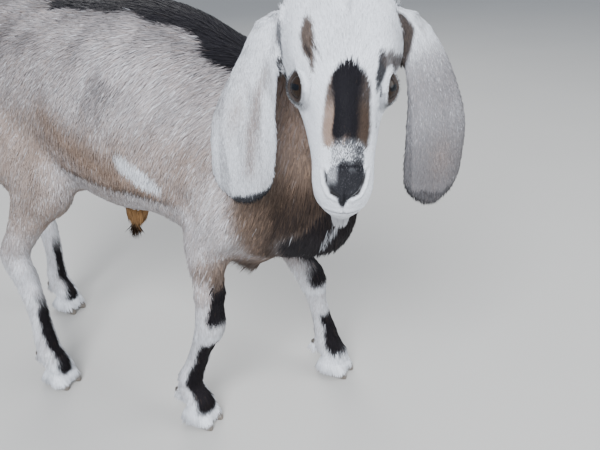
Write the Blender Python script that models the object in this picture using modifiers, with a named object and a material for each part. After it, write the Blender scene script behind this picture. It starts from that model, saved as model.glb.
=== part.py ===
"""A young Nubian goat with long hanging ears, standing with its head turned to its right, life size.

The goat's own frame is used while it is modelled: +X to the front, +Y to the goat's left, +Z up, and
the floor at z = 0. At the end everything is moved so that the origin is under the middle of its box.
"""

import math
import random

import bmesh
import bpy
import numpy as np
from mathutils import Matrix, Vector

# Driving sizes, in metres
GAP = 0.0003
FLESH_VOXEL = 0.0062
FLESH_TRIANGLES = 5300
HEAD_VOXEL = 0.0030
HEAD_TRIANGLES = 3000
HEAD_SIDES = 44
HEAD_RINGS = 46

# The trunk, from the tail root to the breast: distance forward, height of the back, height of the belly,
# half width, and how square the section is (2 is an ellipse)
TRUNK = {
    "tail root": (-0.306, 0.530, 0.476, 0.024, 2.0),
    "pins": (-0.288, 0.550, 0.425, 0.050, 2.1),
    "rump": (-0.245, 0.572, 0.372, 0.070, 2.2),
    "hips": (-0.180, 0.584, 0.334, 0.084, 2.3),
    "flank": (-0.110, 0.582, 0.312, 0.092, 2.2),
    "belly": (-0.030, 0.578, 0.292, 0.105, 2.1),
    "ribs": (0.050, 0.577, 0.290, 0.105, 2.1),
    "girth": (0.110, 0.561, 0.262, 0.096, 2.0),
    "shoulder": (0.165, 0.534, 0.243, 0.090, 2.0),
    "chest": (0.215, 0.506, 0.246, 0.084, 2.1),
    "breast": (0.262, 0.474, 0.264, 0.072, 2.1),
    "breast front": (0.292, 0.430, 0.290, 0.050, 2.0),
    "breast tip": (0.306, 0.392, 0.326, 0.022, 2.0),
}

# The neck: centre line points and, at each, the reach to the nape, to the throat and to each side
NECK = {
    "inside the shoulders": ((0.125, 0.000, 0.425), 0.080, 0.095, 0.062),
    "neck base": ((0.198, 0.007, 0.432), 0.076, 0.108, 0.067),
    "mid neck": ((0.252, 0.006, 0.465), 0.064, 0.096, 0.060),
    "upper neck": ((0.286, -0.020, 0.506), 0.052, 0.070, 0.051),
    "throat": ((0.304, -0.052, 0.538), 0.042, 0.050, 0.043),
    "inside the head": ((0.316, -0.074, 0.545), 0.030, 0.034, 0.034),
}
NAPE_DIRECTION = Vector((-0.45, 0.15, 1.0))

# Each leg: joint points, and the reach to the front, to the back and to each side at every one
FORE_SIZES = (
    ("blade", 0.052, 0.056, 0.026),
    ("shoulder point", 0.052, 0.060, 0.034),
    ("upper arm", 0.045, 0.052, 0.036),
    ("elbow", 0.034, 0.038, 0.031),
    ("forearm", 0.0255, 0.0275, 0.0245),
    ("above the knee", 0.0200, 0.0195, 0.0195),
    ("knee", 0.0225, 0.0190, 0.0205),
    ("below the knee", 0.0160, 0.0165, 0.0160),
    ("cannon", 0.0140, 0.0155, 0.0140),
    ("above the fetlock", 0.0145, 0.0175, 0.0145),
    ("fetlock", 0.0165, 0.0210, 0.0175),
    ("pastern", 0.0165, 0.0175, 0.0180),
    ("coronet", 0.0205, 0.0190, 0.0215),
)
HIND_SIZES = (
    ("croup", 0.070, 0.070, 0.034),
    ("thigh", 0.085, 0.078, 0.044),
    ("stifle", 0.062, 0.074, 0.042),
    ("gaskin top", 0.040, 0.046, 0.032),
    ("gaskin", 0.0255, 0.0290, 0.0240),
    ("hock", 0.0205, 0.0280, 0.0205),
    ("below the hock", 0.0170, 0.0190, 0.0170),
    ("cannon", 0.0150, 0.0160, 0.0150),
    ("above the fetlock", 0.0150, 0.0175, 0.0155),
    ("fetlock", 0.0170, 0.0205, 0.0180),
    ("pastern", 0.0165, 0.0175, 0.0180),
    ("coronet", 0.0205, 0.0190, 0.0215),
)
FEET = {
    "fore_right": (0.094, -0.081),
    "fore_left": (0.220, 0.101),
    "hind_right": (-0.166, -0.106),
    "hind_left": (-0.321, 0.058),
}
FORE_HEIGHTS = (0.455, 0.385, 0.340, 0.302, 0.250, 0.202, 0.172, 0.146, 0.115, 0.088, 0.068, 0.047, 0.031)
HIND_HEIGHTS = (0.478, 0.405, 0.338, 0.288, 0.243, 0.208, 0.172, 0.125, 0.092, 0.070, 0.048, 0.031)

# The tail, from its root to its tip
TAIL_LINE = (
    (-0.272, 0.0, 0.530),
    (-0.304, 0.0, 0.538),
    (-0.330, 0.0, 0.551),
    (-0.350, 0.0, 0.568),
    (-0.362, 0.0, 0.586),
    (-0.367, 0.0, 0.598),
)
TAIL_THICKNESS = (0.020, 0.016, 0.0125, 0.0095, 0.0065, 0.0025)
TAIL_WIDTH = 0.020
TAIL_TAPER = (1.1, 1.0, 0.90, 0.75, 0.50, 0.15)

# Hooves
CLAW_LENGTH = 0.048
CLAW_HEIGHT = 0.034
CLAW_SPREAD = 0.0105
CLAW_SIDES = 8
SOLE_FLATNESS = 1.15
# From heel to toe: share of the length, height and half width
CLAW_SECTIONS = (
    (0.00, 0.020, 0.0060),
    (0.08, 0.026, 0.0082),
    (0.30, 0.033, 0.0092),
    (0.58, 0.034, 0.0094),
    (0.76, 0.023, 0.0086),
    (0.90, 0.012, 0.0066),
    (1.00, 0.004, 0.0034),
)
DEWCLAW_RADIUS = 0.0055

# Locks of long hair: share of the length and share of the width, from the root to the tip
LOCK_SECTIONS = ((0.0, 0.80), (0.35, 1.0), (0.72, 0.58), (1.0, 0.08))
LOCK_THICKNESS = 0.0042
TAIL_LOCKS = 13
TAIL_LOCK_SIZE = (0.044, 0.0165)
TAIL_LOCK_BEND = 0.20
SHEATH_TOP = 0.2830
SHEATH_LOCKS = 7
SHEATH_LOCK_SIZE = (0.034, 0.0125)

# Where a leg parts from the trunk, seen from the front on the goat's left, and from where to where along it
FORE_CUT = ((0.003, -0.10), (0.25, -0.10), (0.25, 0.352), (0.030, 0.246), (0.003, 0.238))
FORE_CUT_REACH = (-0.02, 0.50)
HIND_CUT = ((0.003, -0.10), (0.25, -0.10), (0.25, 0.502), (0.003, 0.317))
HIND_CUT_REACH = (-0.50, -0.094)

# The head, in its own frame: x from the poll to the muzzle, y to the goat's left, z out of the forehead
HEAD_POINT = Vector((0.3375, -0.0900, 0.5200))
HEAD_POINT_ALONG = Vector((0.083, 0.0, 0.012))
HEAD_HEADING = math.radians(-57)
HEAD_DROOP = math.radians(52)
HEAD_TILT = math.radians(-5)
# Distance from the poll, height of the face line, of the jaw line, half width, squareness, and how much
# narrower the section is at the face and at the jaw
HEAD_PROFILE = {
    "nape": (-0.036, -0.012, -0.052, 0.026, 2.0, 0.10, 0.10),
    "back of the skull": (-0.026, 0.010, -0.064, 0.046, 2.1, 0.12, 0.20),
    "poll": (-0.002, 0.028, -0.070, 0.0570, 2.2, 0.14, 0.25),
    "forehead": (0.030, 0.041, -0.075, 0.0605, 2.3, 0.14, 0.24),
    "brow": (0.058, 0.048, -0.075, 0.0570, 2.3, 0.10, 0.26),
    "eye line": (0.082, 0.050, -0.071, 0.0470, 2.2, 0.12, 0.26),
    "cheek": (0.105, 0.048, -0.063, 0.0398, 2.2, 0.24, 0.22),
    "nose bridge": (0.132, 0.042, -0.054, 0.0332, 2.2, 0.34, 0.18),
    "nose": (0.158, 0.0325, -0.0475, 0.0288, 2.2, 0.34, 0.14),
    "nostrils": (0.181, 0.0205, -0.0445, 0.0270, 2.3, 0.26, 0.12),
    "lips": (0.1955, 0.0105, -0.0425, 0.0220, 2.3, 0.24, 0.12),
    "lip tips": (0.2045, 0.0010, -0.0380, 0.0145, 2.2, 0.20, 0.20),
    "muzzle tip": (0.2090, -0.0065, -0.0310, 0.0070, 2.0, 0.10, 0.10),
}
# Soft hills and hollows of the face: centre, radii and height
FACE_BUMPS = {
    "brow": ((0.076, 0.048, 0.034), (0.022, 0.016, 0.011), 0.0050),
    "cheekbone": ((0.102, 0.040, 0.000), (0.020, 0.014, 0.008), 0.0030),
    "chewing muscle": ((0.058, 0.045, -0.040), (0.026, 0.022, 0.022), 0.0040),
    "hollow before the eye": ((0.118, 0.036, 0.012), (0.018, 0.016, 0.012), -0.0040),
    "hollow of the jaw": ((0.128, 0.026, -0.034), (0.024, 0.020, 0.012), -0.0030),
    "upper lip": ((0.186, 0.024, -0.010), (0.016, 0.016, 0.007), 0.0020),
    "lower lip": ((0.184, 0.022, -0.032), (0.016, 0.016, 0.006), 0.0012),
}
EYE_RADIUS = 0.0152
EYE_PLACE = Vector((0.0935, 0.0342, 0.0130))
EYE_LOOK = Vector((0.22, 1.0, 0.52)).normalized()
LID_THICKNESS = 0.0020
LID_OPENING = (0.0132, 0.0094)
MOUTH_HEIGHT = -0.0190
MOUTH_LENGTH = 0.056
MOUTH_SLIT = 0.0012
NOSTRIL_PLACE = Vector((0.1862, 0.0132, 0.0102))

# Each ear, from between the eyes: distance out to the side, height, distance ahead, half width of the flap
EARS = {
    "ear_right": (
        ("inside the head", 0.040, 0.040, -0.050, 0.0140),
        ("root", 0.062, 0.034, -0.044, 0.0190),
        ("top", 0.0745, 0.012, -0.035, 0.0215),
        ("upper flap", 0.085, -0.018, -0.028, 0.0290),
        ("middle", 0.095, -0.054, -0.025, 0.0355),
        ("lower flap", 0.099, -0.090, -0.025, 0.0345),
        ("above the tip", 0.101, -0.116, -0.027, 0.0330),
        ("tip", 0.102, -0.131, -0.028, 0.0310),
    ),
    "ear_left": (
        ("inside the head", 0.040, 0.039, -0.050, 0.0150),
        ("root", 0.068, 0.034, -0.044, 0.0200),
        ("top", 0.0865, 0.009, -0.035, 0.0235),
        ("upper flap", 0.096, -0.023, -0.028, 0.0300),
        ("middle", 0.1015, -0.058, -0.025, 0.0365),
        ("lower flap", 0.102, -0.094, -0.025, 0.0365),
        ("above the tip", 0.1015, -0.124, -0.027, 0.0350),
        ("tip", 0.1010, -0.141, -0.028, 0.0330),
    ),
}
EAR_RINGS = 22
EAR_THICKNESS = 0.0058
EAR_CURL_AT_ROOT = math.radians(150)
EAR_CURL = math.radians(44)
EAR_GROOVE = 0.0030
EAR_TIP_START = 0.80
EAR_SLANT = math.radians(-2.5)

COAT = (0.62, 0.58, 0.55)
FACE_WHITE = (0.84, 0.84, 0.85)
HORN = (0.10, 0.09, 0.085)
EYE_BROWN = (0.10, 0.07, 0.04)


def clear_scene():
    for old in list(bpy.data.objects):
        bpy.data.objects.remove(old, do_unlink=True)


def new_collection(name, hidden=False):
    made = bpy.data.collections.new(name)
    made.hide_render = hidden
    bpy.context.scene.collection.children.link(made)
    return made


def material(name, colour, roughness, metallic=0.0):
    made = bpy.data.materials.new(name)
    made.use_nodes = True
    shader = made.node_tree.nodes["Principled BSDF"]
    shader.inputs["Base Color"].default_value = (*colour, 1.0)
    shader.inputs["Roughness"].default_value = roughness
    shader.inputs["Metallic"].default_value = metallic
    return made


def spline(rows, count):
    """Rows of numbers, run through smoothly at even steps of distance, as a Catmull-Rom curve."""
    rows = np.array(rows, float)
    steps = np.linalg.norm(np.diff(rows[:, :3], axis=0), axis=1)
    knots = np.concatenate([[0.0], np.cumsum(steps)])
    slopes = np.gradient(rows, knots, axis=0)
    wanted = np.linspace(0.0, knots[-1], count)
    index = np.clip(np.searchsorted(knots, wanted, side="right") - 1, 0, len(knots) - 2)
    width = (knots[index + 1] - knots[index])[:, None]
    t = ((wanted - knots[index])[:, None]) / width
    a, b = rows[index], rows[index + 1]
    start, end = slopes[index] * width, slopes[index + 1] * width
    return (
        (2 * t**3 - 3 * t**2 + 1) * a
        + (t**3 - 2 * t**2 + t) * start
        + (-2 * t**3 + 3 * t**2) * b
        + (t**3 - t**2) * end
    )


def rings_to_object(name, rings, collection):
    """A closed mesh through rings of points, with a point in the middle of each end."""
    mesh = bmesh.new()
    made = [[mesh.verts.new(p) for p in ring] for ring in rings]
    sides = len(rings[0])
    for first, second in zip(made, made[1:]):
        for i in range(sides):
            j = (i + 1) % sides
            mesh.faces.new((first[i], first[j], second[j], second[i]))
    for ring in (made[0], made[-1]):
        middle = sum((v.co for v in ring), Vector()) / sides
        tip = mesh.verts.new(middle)
        for i in range(sides):
            mesh.faces.new((ring[i], ring[(i + 1) % sides], tip))
    bmesh.ops.recalc_face_normals(mesh, faces=mesh.faces[:])
    data = bpy.data.meshes.new(name)
    mesh.to_mesh(data)
    mesh.free()
    made_object = bpy.data.objects.new(name, data)
    collection.objects.link(made_object)
    return made_object


def section(centre, side_axis, top_axis, half_width, top, bottom, squareness, sides):
    """One ring: a rounded section whose upper and lower halves may differ."""
    points = []
    for i in range(sides):
        angle = 2 * math.pi * i / sides
        c, s = math.cos(angle), math.sin(angle)
        across = math.copysign(abs(c) ** (2 / squareness), c) * half_width
        reach = top if s > 0 else bottom
        along = math.copysign(abs(s) ** (2 / squareness), s) * reach
        points.append(centre + side_axis * across + top_axis * along)
    return points


def tube(name, stations, front, collection, sides=20, count=30, squareness=2.0):
    """A limb: stations hold a point, the reach to the front, to the back and to each side."""
    rows = [(*point, ahead, behind, side) for point, ahead, behind, side in stations]
    rows = spline(rows, count)
    points = [Vector(row[:3]) for row in rows]
    rings = []
    for i, row in enumerate(rows):
        before, after = points[max(i - 1, 0)], points[min(i + 1, count - 1)]
        tangent = (after - before).normalized()
        side_axis = tangent.cross(front).normalized()
        front_axis = side_axis.cross(tangent).normalized()
        rings.append(section(points[i], side_axis, front_axis, row[5], row[3], row[4], squareness, sides))
    return rings_to_object(name, rings, collection)


def trunk(collection):
    rows = [(x, 0, 0, top, bottom, half, square) for x, top, bottom, half, square in TRUNK.values()]
    rings = []
    for x, _, _, top, bottom, half, square in spline(rows, 44):
        middle = bottom + (top - bottom) * 0.52
        centre = Vector((x, 0, middle))
        rings.append(
            section(centre, Vector((0, 1, 0)), Vector((0, 0, 1)), half, top - middle, middle - bottom, square, 40)
        )
    return rings_to_object("trunk", rings, collection)


def neck(collection):
    stations = [(Vector(point), nape, throat, side) for point, nape, throat, side in NECK.values()]
    return tube("neck_core", stations, NAPE_DIRECTION, collection, sides=28, count=26)


def fore_leg_points(foot, side):
    """Joint points of a foreleg that stands on foot: the elbow keeps its place on the trunk."""
    x, y = foot
    elbow_x, elbow_y = 0.136, side * 0.066
    shoulder_x = (0.140, 0.178, 0.166, elbow_x)
    shoulder_y = (side * 0.040, side * 0.056, side * 0.064, elbow_y)
    fetlock_x = x - 0.012
    knee_x = elbow_x + (fetlock_x - elbow_x) * 0.55 + 0.018
    points = [Vector((shoulder_x[i], shoulder_y[i], FORE_HEIGHTS[i])) for i in range(4)]
    knee_z, fetlock_z = FORE_HEIGHTS[6], FORE_HEIGHTS[10]
    for z in FORE_HEIGHTS[4:]:
        along = (FORE_HEIGHTS[3] - z) / (FORE_HEIGHTS[3] - fetlock_z)
        if z >= knee_z:
            share = (FORE_HEIGHTS[3] - z) / (FORE_HEIGHTS[3] - knee_z)
            px = elbow_x + (knee_x - elbow_x) * share
        elif z >= fetlock_z:
            share = (knee_z - z) / (knee_z - fetlock_z)
            px = knee_x + (fetlock_x - knee_x) * share
        else:
            share = (fetlock_z - z) / (fetlock_z - FORE_HEIGHTS[-1])
            px = fetlock_x + (x + 0.002 - fetlock_x) * share
        points.append(Vector((px, elbow_y + (y - elbow_y) * min(1, along), z)))
    return points


def hind_leg_points(foot, side):
    """Joint points of a hind leg that stands on foot: the hock sits behind the line from the hip."""
    x, y = foot
    fetlock = Vector((x - 0.014, y, HIND_HEIGHTS[9]))
    hock = Vector((-0.121 + 0.669 * x, side * 0.062 + (y - side * 0.062) * 0.45, HIND_HEIGHTS[5]))
    stifle_x = -0.130 + 0.160 * x
    points = [
        Vector((-0.210, side * 0.036, HIND_HEIGHTS[0])),
        Vector((-0.202, side * 0.050, HIND_HEIGHTS[1])),
        Vector((stifle_x, side * 0.060, HIND_HEIGHTS[2])),
        Vector((stifle_x + (hock.x - stifle_x) * 0.42, side * 0.062, HIND_HEIGHTS[3])),
        Vector((stifle_x + (hock.x - stifle_x) * 0.78, (side * 0.062 + hock.y) / 2, HIND_HEIGHTS[4])),
        hock,
    ]
    for z in HIND_HEIGHTS[6:10]:
        share = (hock.z - z) / (hock.z - fetlock.z)
        bend = 0.006 * math.sin(math.pi * share)
        points.append(hock.lerp(fetlock, share) + Vector((bend, 0, 0)))
    for z in HIND_HEIGHTS[10:]:
        share = (fetlock.z - z) / (fetlock.z - HIND_HEIGHTS[-1])
        points.append(Vector((fetlock.x + (x + 0.002 - fetlock.x) * share, y, z)))
    return points


def leg(name, collection):
    side = 1 if name.endswith("left") else -1
    fore = name.startswith("fore")
    sizes = FORE_SIZES if fore else HIND_SIZES
    points = (fore_leg_points if fore else hind_leg_points)(FEET[name], side)
    stations = [(p, ahead, behind, across) for p, (_, ahead, behind, across) in zip(points, sizes)]
    return tube("leg_core_" + name, stations, Vector((1, 0, 0.001)), collection, sides=20, count=46)


def apply_modifier(thing, kind, **settings):
    """Adds one modifier, gives it its settings and keeps what it makes as the object's mesh."""
    modifier = thing.modifiers.new(kind.lower(), kind)
    for key, value in settings.items():
        setattr(modifier, key, value)
    graph = bpy.context.evaluated_depsgraph_get()
    made = bpy.data.meshes.new_from_object(thing.evaluated_get(graph))
    thing.modifiers.clear()
    old = thing.data
    thing.data = made
    bpy.data.meshes.remove(old)
    return thing


def largest_shell(thing):
    """Keeps only the largest closed surface of an object."""
    mesh = bmesh.new()
    mesh.from_mesh(thing.data)
    left, shells = set(mesh.verts), []
    while left:
        stack, shell = [left.pop()], []
        while stack:
            vertex = stack.pop()
            shell.append(vertex)
            for edge in vertex.link_edges:
                other = edge.other_vert(vertex)
                if other in left:
                    left.remove(other)
                    stack.append(other)
        shells.append(shell)
    shells.sort(key=len)
    for shell in shells[:-1]:
        bmesh.ops.delete(mesh, geom=shell, context="VERTS")
    mesh.to_mesh(thing.data)
    mesh.free()
    return thing


def boolean(thing, other, operation, solver="MANIFOLD"):
    """Joins, cuts or intersects thing with another closed object, which is then removed."""
    apply_modifier(thing, "BOOLEAN", object=other, operation=operation, solver=solver)
    bpy.data.objects.remove(other, do_unlink=True)
    return thing


def copy_of(thing, name, collection):
    made = thing.copy()
    made.data = thing.data.copy()
    made.name = name
    collection.objects.link(made)
    return made


def grown(thing, by, collection):
    """A copy of a closed object with its surface moved outwards."""
    made = copy_of(thing, thing.name + "_grown", collection)
    return apply_modifier(made, "DISPLACE", strength=by, mid_level=0.0)


def oriented_box(name, low, high, collection, turn=Matrix.Identity(4)):
    """A box between two corners of its own frame, which turn places."""
    mesh = bmesh.new()
    size = [b - a for a, b in zip(low, high)]
    middle = [(a + b) / 2 for a, b in zip(low, high)]
    bmesh.ops.create_cube(mesh, size=1.0, matrix=Matrix.Translation(middle) @ Matrix.Diagonal((*size, 1.0)))
    bmesh.ops.transform(mesh, matrix=turn, verts=mesh.verts[:])
    data = bpy.data.meshes.new(name)
    mesh.to_mesh(data)
    mesh.free()
    made = bpy.data.objects.new(name, data)
    collection.objects.link(made)
    return made


def join(things, name):
    """Several closed meshes as the loose shells of one object."""
    mesh = bmesh.new()
    for thing in things:
        thing.data.transform(thing.matrix_world)
        mesh.from_mesh(thing.data)
    data = bpy.data.meshes.new(name)
    mesh.to_mesh(data)
    mesh.free()
    made = bpy.data.objects.new(name, data)
    things[0].users_collection[0].objects.link(made)
    for thing in things:
        bpy.data.objects.remove(thing, do_unlink=True)
    return made


def widened(outline, by):
    """A convex outline that runs anticlockwise, with every side moved outwards."""
    lines = []
    for first, second in zip(outline, outline[1:] + outline[:1]):
        along = (Vector(second) - Vector(first)).normalized()
        out = Vector((along.y, -along.x))
        lines.append((Vector(first) + out * by, along))
    corners = []
    for (p, d), (q, e) in zip(lines[-1:] + lines[:-1], lines):
        t = ((q - p).x * e.y - (q - p).y * e.x) / (d.x * e.y - d.y * e.x)
        corners.append(p + d * t)
    return corners


def leg_cutter(name, by, collection):
    """The space that a leg's node takes out of the whole body: a prism along the goat, by wider."""
    side = 1 if name.endswith("left") else -1
    if name.startswith("fore"):
        outline, low, high = FORE_CUT, *FORE_CUT_REACH
    else:
        outline, low, high = HIND_CUT, *HIND_CUT_REACH
    rings = []
    for x in (low - by, high + by):
        rings.append([Vector((x, side * y, z)) for y, z in widened(list(outline), by)])
    return rings_to_object("cut_" + name, rings, collection)


def flesh(collection, cutters):
    """Trunk, neck, legs and tail as one blended body, parted into its nodes by thin cuts."""
    pieces = [trunk(collection), neck(collection)] + [leg(name, collection) for name in FEET]
    pieces += [tail_core(collection), sheath_core(collection)]
    body = join(pieces, "body")
    apply_modifier(body, "REMESH", mode="VOXEL", voxel_size=FLESH_VOXEL, adaptivity=0.0)
    apply_modifier(body, "SMOOTH", factor=0.5, iterations=5)
    largest_shell(body)
    faces = len(body.data.polygons) * 2
    apply_modifier(body, "DECIMATE", ratio=FLESH_TRIANGLES / faces, use_collapse_triangulate=True)
    largest_shell(body)
    floor = oriented_box("floor_cut", (-1, -1, -1), (1, 1, 0.0285), cutters)
    boolean(body, floor, "DIFFERENCE")
    return body


def tail_core(collection):
    stations = [
        (Vector(point), thick, thick, TAIL_WIDTH * wide)
        for point, thick, wide in zip(TAIL_LINE, TAIL_THICKNESS, TAIL_TAPER)
    ]
    return tube("tail_core", stations, Vector((0.2, 0, 1)), collection, sides=14, count=16)


def sheath_core(collection):
    stations = [
        (Vector((-0.030, 0, 0.330)), 0.026, 0.026, 0.022),
        (Vector((-0.038, 0, 0.302)), 0.021, 0.021, 0.017),
        (Vector((-0.045, 0, 0.276)), 0.017, 0.017, 0.014),
        (Vector((-0.052, 0, 0.250)), 0.012, 0.012, 0.010),
        (Vector((-0.057, 0, 0.230)), 0.004, 0.004, 0.004),
    ]
    return tube("sheath_core", stations, Vector((1, 0, 0)), collection, sides=12, count=12)


def lock(root, along, flat, length, width, bend, collection):
    """A flat lock of hair that bends towards flat and tapers to its tip."""
    along = along.normalized()
    across = along.cross(flat).normalized()
    flat = across.cross(along).normalized()
    rings = []
    for t, share in LOCK_SECTIONS:
        centre = root + along * length * t + flat * bend * length * t * t
        thick = LOCK_THICKNESS * (0.35 + 0.65 * share)
        rings.append(section(centre, across, flat, width / 2 * share, thick / 2, thick / 2, 2.0, 6))
    return rings_to_object("lock", rings, collection)


def fuse(thing, locks):
    """Joins a collection of closed pieces to thing by one union and drops the collection."""
    apply_modifier(
        thing, "BOOLEAN", operand_type="COLLECTION", collection=locks, operation="UNION", solver="EXACT"
    )
    for piece in list(locks.objects):
        bpy.data.objects.remove(piece, do_unlink=True)
    bpy.data.collections.remove(locks)
    return largest_shell(thing)


def tail_locks(draw):
    """Hair that fringes the tail on both sides and over its back, out past its tip."""
    locks = new_collection("locks_of_the_tail")
    path = [Vector(p) for p in TAIL_LINE]
    length, width = TAIL_LOCK_SIZE
    for i in range(TAIL_LOCKS):
        share = 0.16 + 0.80 * i / (TAIL_LOCKS - 1)
        place = share * (len(path) - 1)
        start, rest = int(place), place - int(place)
        along = (path[start + 1] - path[start]).normalized()
        centre = path[start].lerp(path[start + 1], rest)
        side = Vector((0, (1, -1, 0)[i % 3], 0))
        inner = Vector((0, 1, 0)).cross(along).normalized()
        root = centre + side * TAIL_WIDTH * 0.50 - inner * 0.006 * (1 - abs(side.y))
        heading = along + side * draw.uniform(0.10, 0.20) - inner * 0.06
        size = length * (1.0 - 0.35 * share) * draw.uniform(0.9, 1.1)
        lock(root, heading, inner, size, width * draw.uniform(0.9, 1.1), TAIL_LOCK_BEND, locks)
    return locks


def sheath_locks(draw):
    """The tuft that hangs from the sheath: locks round it that lean back and meet in a point."""
    locks = new_collection("locks_of_the_sheath")
    length, width = SHEATH_LOCK_SIZE
    for i in range(SHEATH_LOCKS):
        angle = 2 * math.pi * i / SHEATH_LOCKS
        out = Vector((math.cos(angle), math.sin(angle), 0))
        root = Vector((-0.047, 0, 0.262 - 0.008 * (i % 2))) + out * 0.0075
        heading = Vector((-0.28, 0, -1.0)) - out * draw.uniform(0.04, 0.14)
        lock(root, heading, out, length * draw.uniform(0.9, 1.15), width, -0.10, locks)
    return locks


def part_body(body, parts, cutters, draw):
    """Cuts the blended body into torso, neck, tail, sheath and legs."""
    made = {}
    for name in FEET:
        piece = copy_of(body, "leg_" + name, parts)
        boolean(piece, leg_cutter(name, 0.0, cutters), "INTERSECT")
        made["leg_" + name] = largest_shell(piece)
    for name in FEET:
        boolean(body, leg_cutter(name, GAP, cutters), "DIFFERENCE")
    neck_turn = Matrix.Translation((0.215, 0, 0.462)) @ Matrix.Rotation(math.radians(-52), 4, "Y")
    tail_turn = Matrix.Translation((-0.308, 0, 0.53)) @ Matrix.Rotation(math.radians(-12), 4, "Y")
    reach = (0.4, 0.3, 0.3)
    piece = copy_of(body, "neck", parts)
    boolean(piece, oriented_box("cut", (0, -0.3, -0.16), reach, cutters, neck_turn), "INTERSECT")
    made["neck"] = largest_shell(piece)
    boolean(body, oriented_box("cut", (-GAP, -0.3, -0.16 - GAP), reach, cutters, neck_turn), "DIFFERENCE")
    piece = fuse(copy_of(body, "tail", parts), tail_locks(draw))
    low, high = (-0.2, -0.1, -0.020), (0.0, 0.1, 0.15)
    boolean(piece, oriented_box("cut", low, high, cutters, tail_turn), "INTERSECT")
    made["tail"] = largest_shell(piece)
    low, high = (-0.2, -0.1, -0.020 - GAP), (GAP, 0.1, 0.15)
    boolean(body, oriented_box("cut", low, high, cutters, tail_turn), "DIFFERENCE")
    piece = fuse(copy_of(body, "sheath", parts), sheath_locks(draw))
    low, high = (-0.09, -0.04, 0.20), (-0.012, 0.04, SHEATH_TOP)
    boolean(piece, oriented_box("cut", low, high, cutters), "INTERSECT")
    made["sheath"] = largest_shell(piece)
    high = (-0.012, 0.04, SHEATH_TOP + GAP)
    boolean(body, oriented_box("cut", low, high, cutters), "DIFFERENCE")
    body.name = "torso"
    made["torso"] = largest_shell(body)
    return made


def head_matrix():
    forward = Vector((math.cos(HEAD_HEADING), math.sin(HEAD_HEADING), 0))
    up = Vector((0, 0, 1))
    along = forward * math.cos(HEAD_DROOP) - up * math.sin(HEAD_DROOP)
    out = forward * math.sin(HEAD_DROOP) + up * math.cos(HEAD_DROOP)
    left = out.cross(along)
    turn = Matrix((along, left, out)).transposed().to_4x4()
    turn = turn @ Matrix.Rotation(HEAD_TILT, 4, "Z")
    place = Matrix.Translation(HEAD_POINT) @ turn
    return place @ Matrix.Translation(-HEAD_POINT_ALONG)


def bump(point, centre, radii):
    """A soft hill, 1 at its centre and fading out over radii."""
    offset = [(p - c) / r for p, c, r in zip(point, centre, radii)]
    return math.exp(-sum(v * v for v in offset))


def head(collection, cutters):
    """Skull, jaw and muzzle as one solid, with sockets, lids, nostrils and the line of the mouth."""
    rows = [(x, 0, 0, *rest) for x, *rest in HEAD_PROFILE.values()]
    rings = []
    for x, _, _, top, bottom, half, square, face, jaw in spline(rows, HEAD_RINGS):
        middle = bottom + (top - bottom) * 0.58
        ring = section(
            Vector((x, 0, middle)), Vector((0, 1, 0)), Vector((0, 0, 1)),
            half, top - middle, middle - bottom, square, HEAD_SIDES,
        )
        for p in ring:
            share = (p.z - middle) / (top - middle if p.z > middle else middle - bottom)
            p.y *= 1 - (face if share > 0 else jaw) * abs(share) ** 1.6
        rings.append(ring)
    skull = rings_to_object("head", rings, collection)
    for vertex in skull.data.vertices:
        p = vertex.co
        side = 1 if p.y > 0 else -1
        q = (p.x, abs(p.y), p.z)
        out = 0.0
        for centre, radii, height in FACE_BUMPS.values():
            out += height * bump(q, centre, radii)
        p.y += side * out
        p.z += 0.0025 * bump(q, (0.118, 0.0, 0.045), (0.040, 0.016, 0.020))
        p.z -= 0.0030 * bump(q, (0.030, 0.0, 0.042), (0.016, 0.012, 0.020))
        p.z -= 0.0030 * bump(q, (0.196, 0.0, -0.042), (0.010, 0.014, 0.012))
    for side in (1, -1):
        place = Vector((EYE_PLACE.x, side * EYE_PLACE.y, EYE_PLACE.z))
        orbit = ball("orbit", place, EYE_RADIUS + LID_THICKNESS, cutters)
        boolean(skull, orbit, "UNION")
    apply_modifier(skull, "REMESH", mode="VOXEL", voxel_size=HEAD_VOXEL, adaptivity=0.0)
    apply_modifier(skull, "SMOOTH", factor=0.5, iterations=3)
    faces = len(skull.data.polygons) * 2
    apply_modifier(skull, "DECIMATE", ratio=HEAD_TRIANGLES / faces, use_collapse_triangulate=True)
    largest_shell(skull)
    for side in (1, -1):
        place = Vector((EYE_PLACE.x, side * EYE_PLACE.y, EYE_PLACE.z))
        look = Vector((EYE_LOOK.x, side * EYE_LOOK.y, EYE_LOOK.z))
        boolean(skull, lid_opening(place, look, cutters), "DIFFERENCE")
        boolean(skull, ball("socket", place, EYE_RADIUS + GAP, cutters, 24), "DIFFERENCE")
        boolean(skull, nostril(side, cutters), "DIFFERENCE")
    boolean(skull, mouth_slit(cutters), "DIFFERENCE")
    largest_shell(skull)
    return skull


def ball(name, place, radius, collection, rings=24, scale=(1, 1, 1), turn=Matrix.Identity(4)):
    mesh = bmesh.new()
    bmesh.ops.create_uvsphere(mesh, u_segments=rings, v_segments=rings // 2, radius=radius)
    size = Matrix.Diagonal((*scale, 1.0))
    bmesh.ops.transform(mesh, matrix=Matrix.Translation(place) @ turn @ size, verts=mesh.verts[:])
    data = bpy.data.meshes.new(name)
    mesh.to_mesh(data)
    mesh.free()
    made = bpy.data.objects.new(name, data)
    collection.objects.link(made)
    return made


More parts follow.
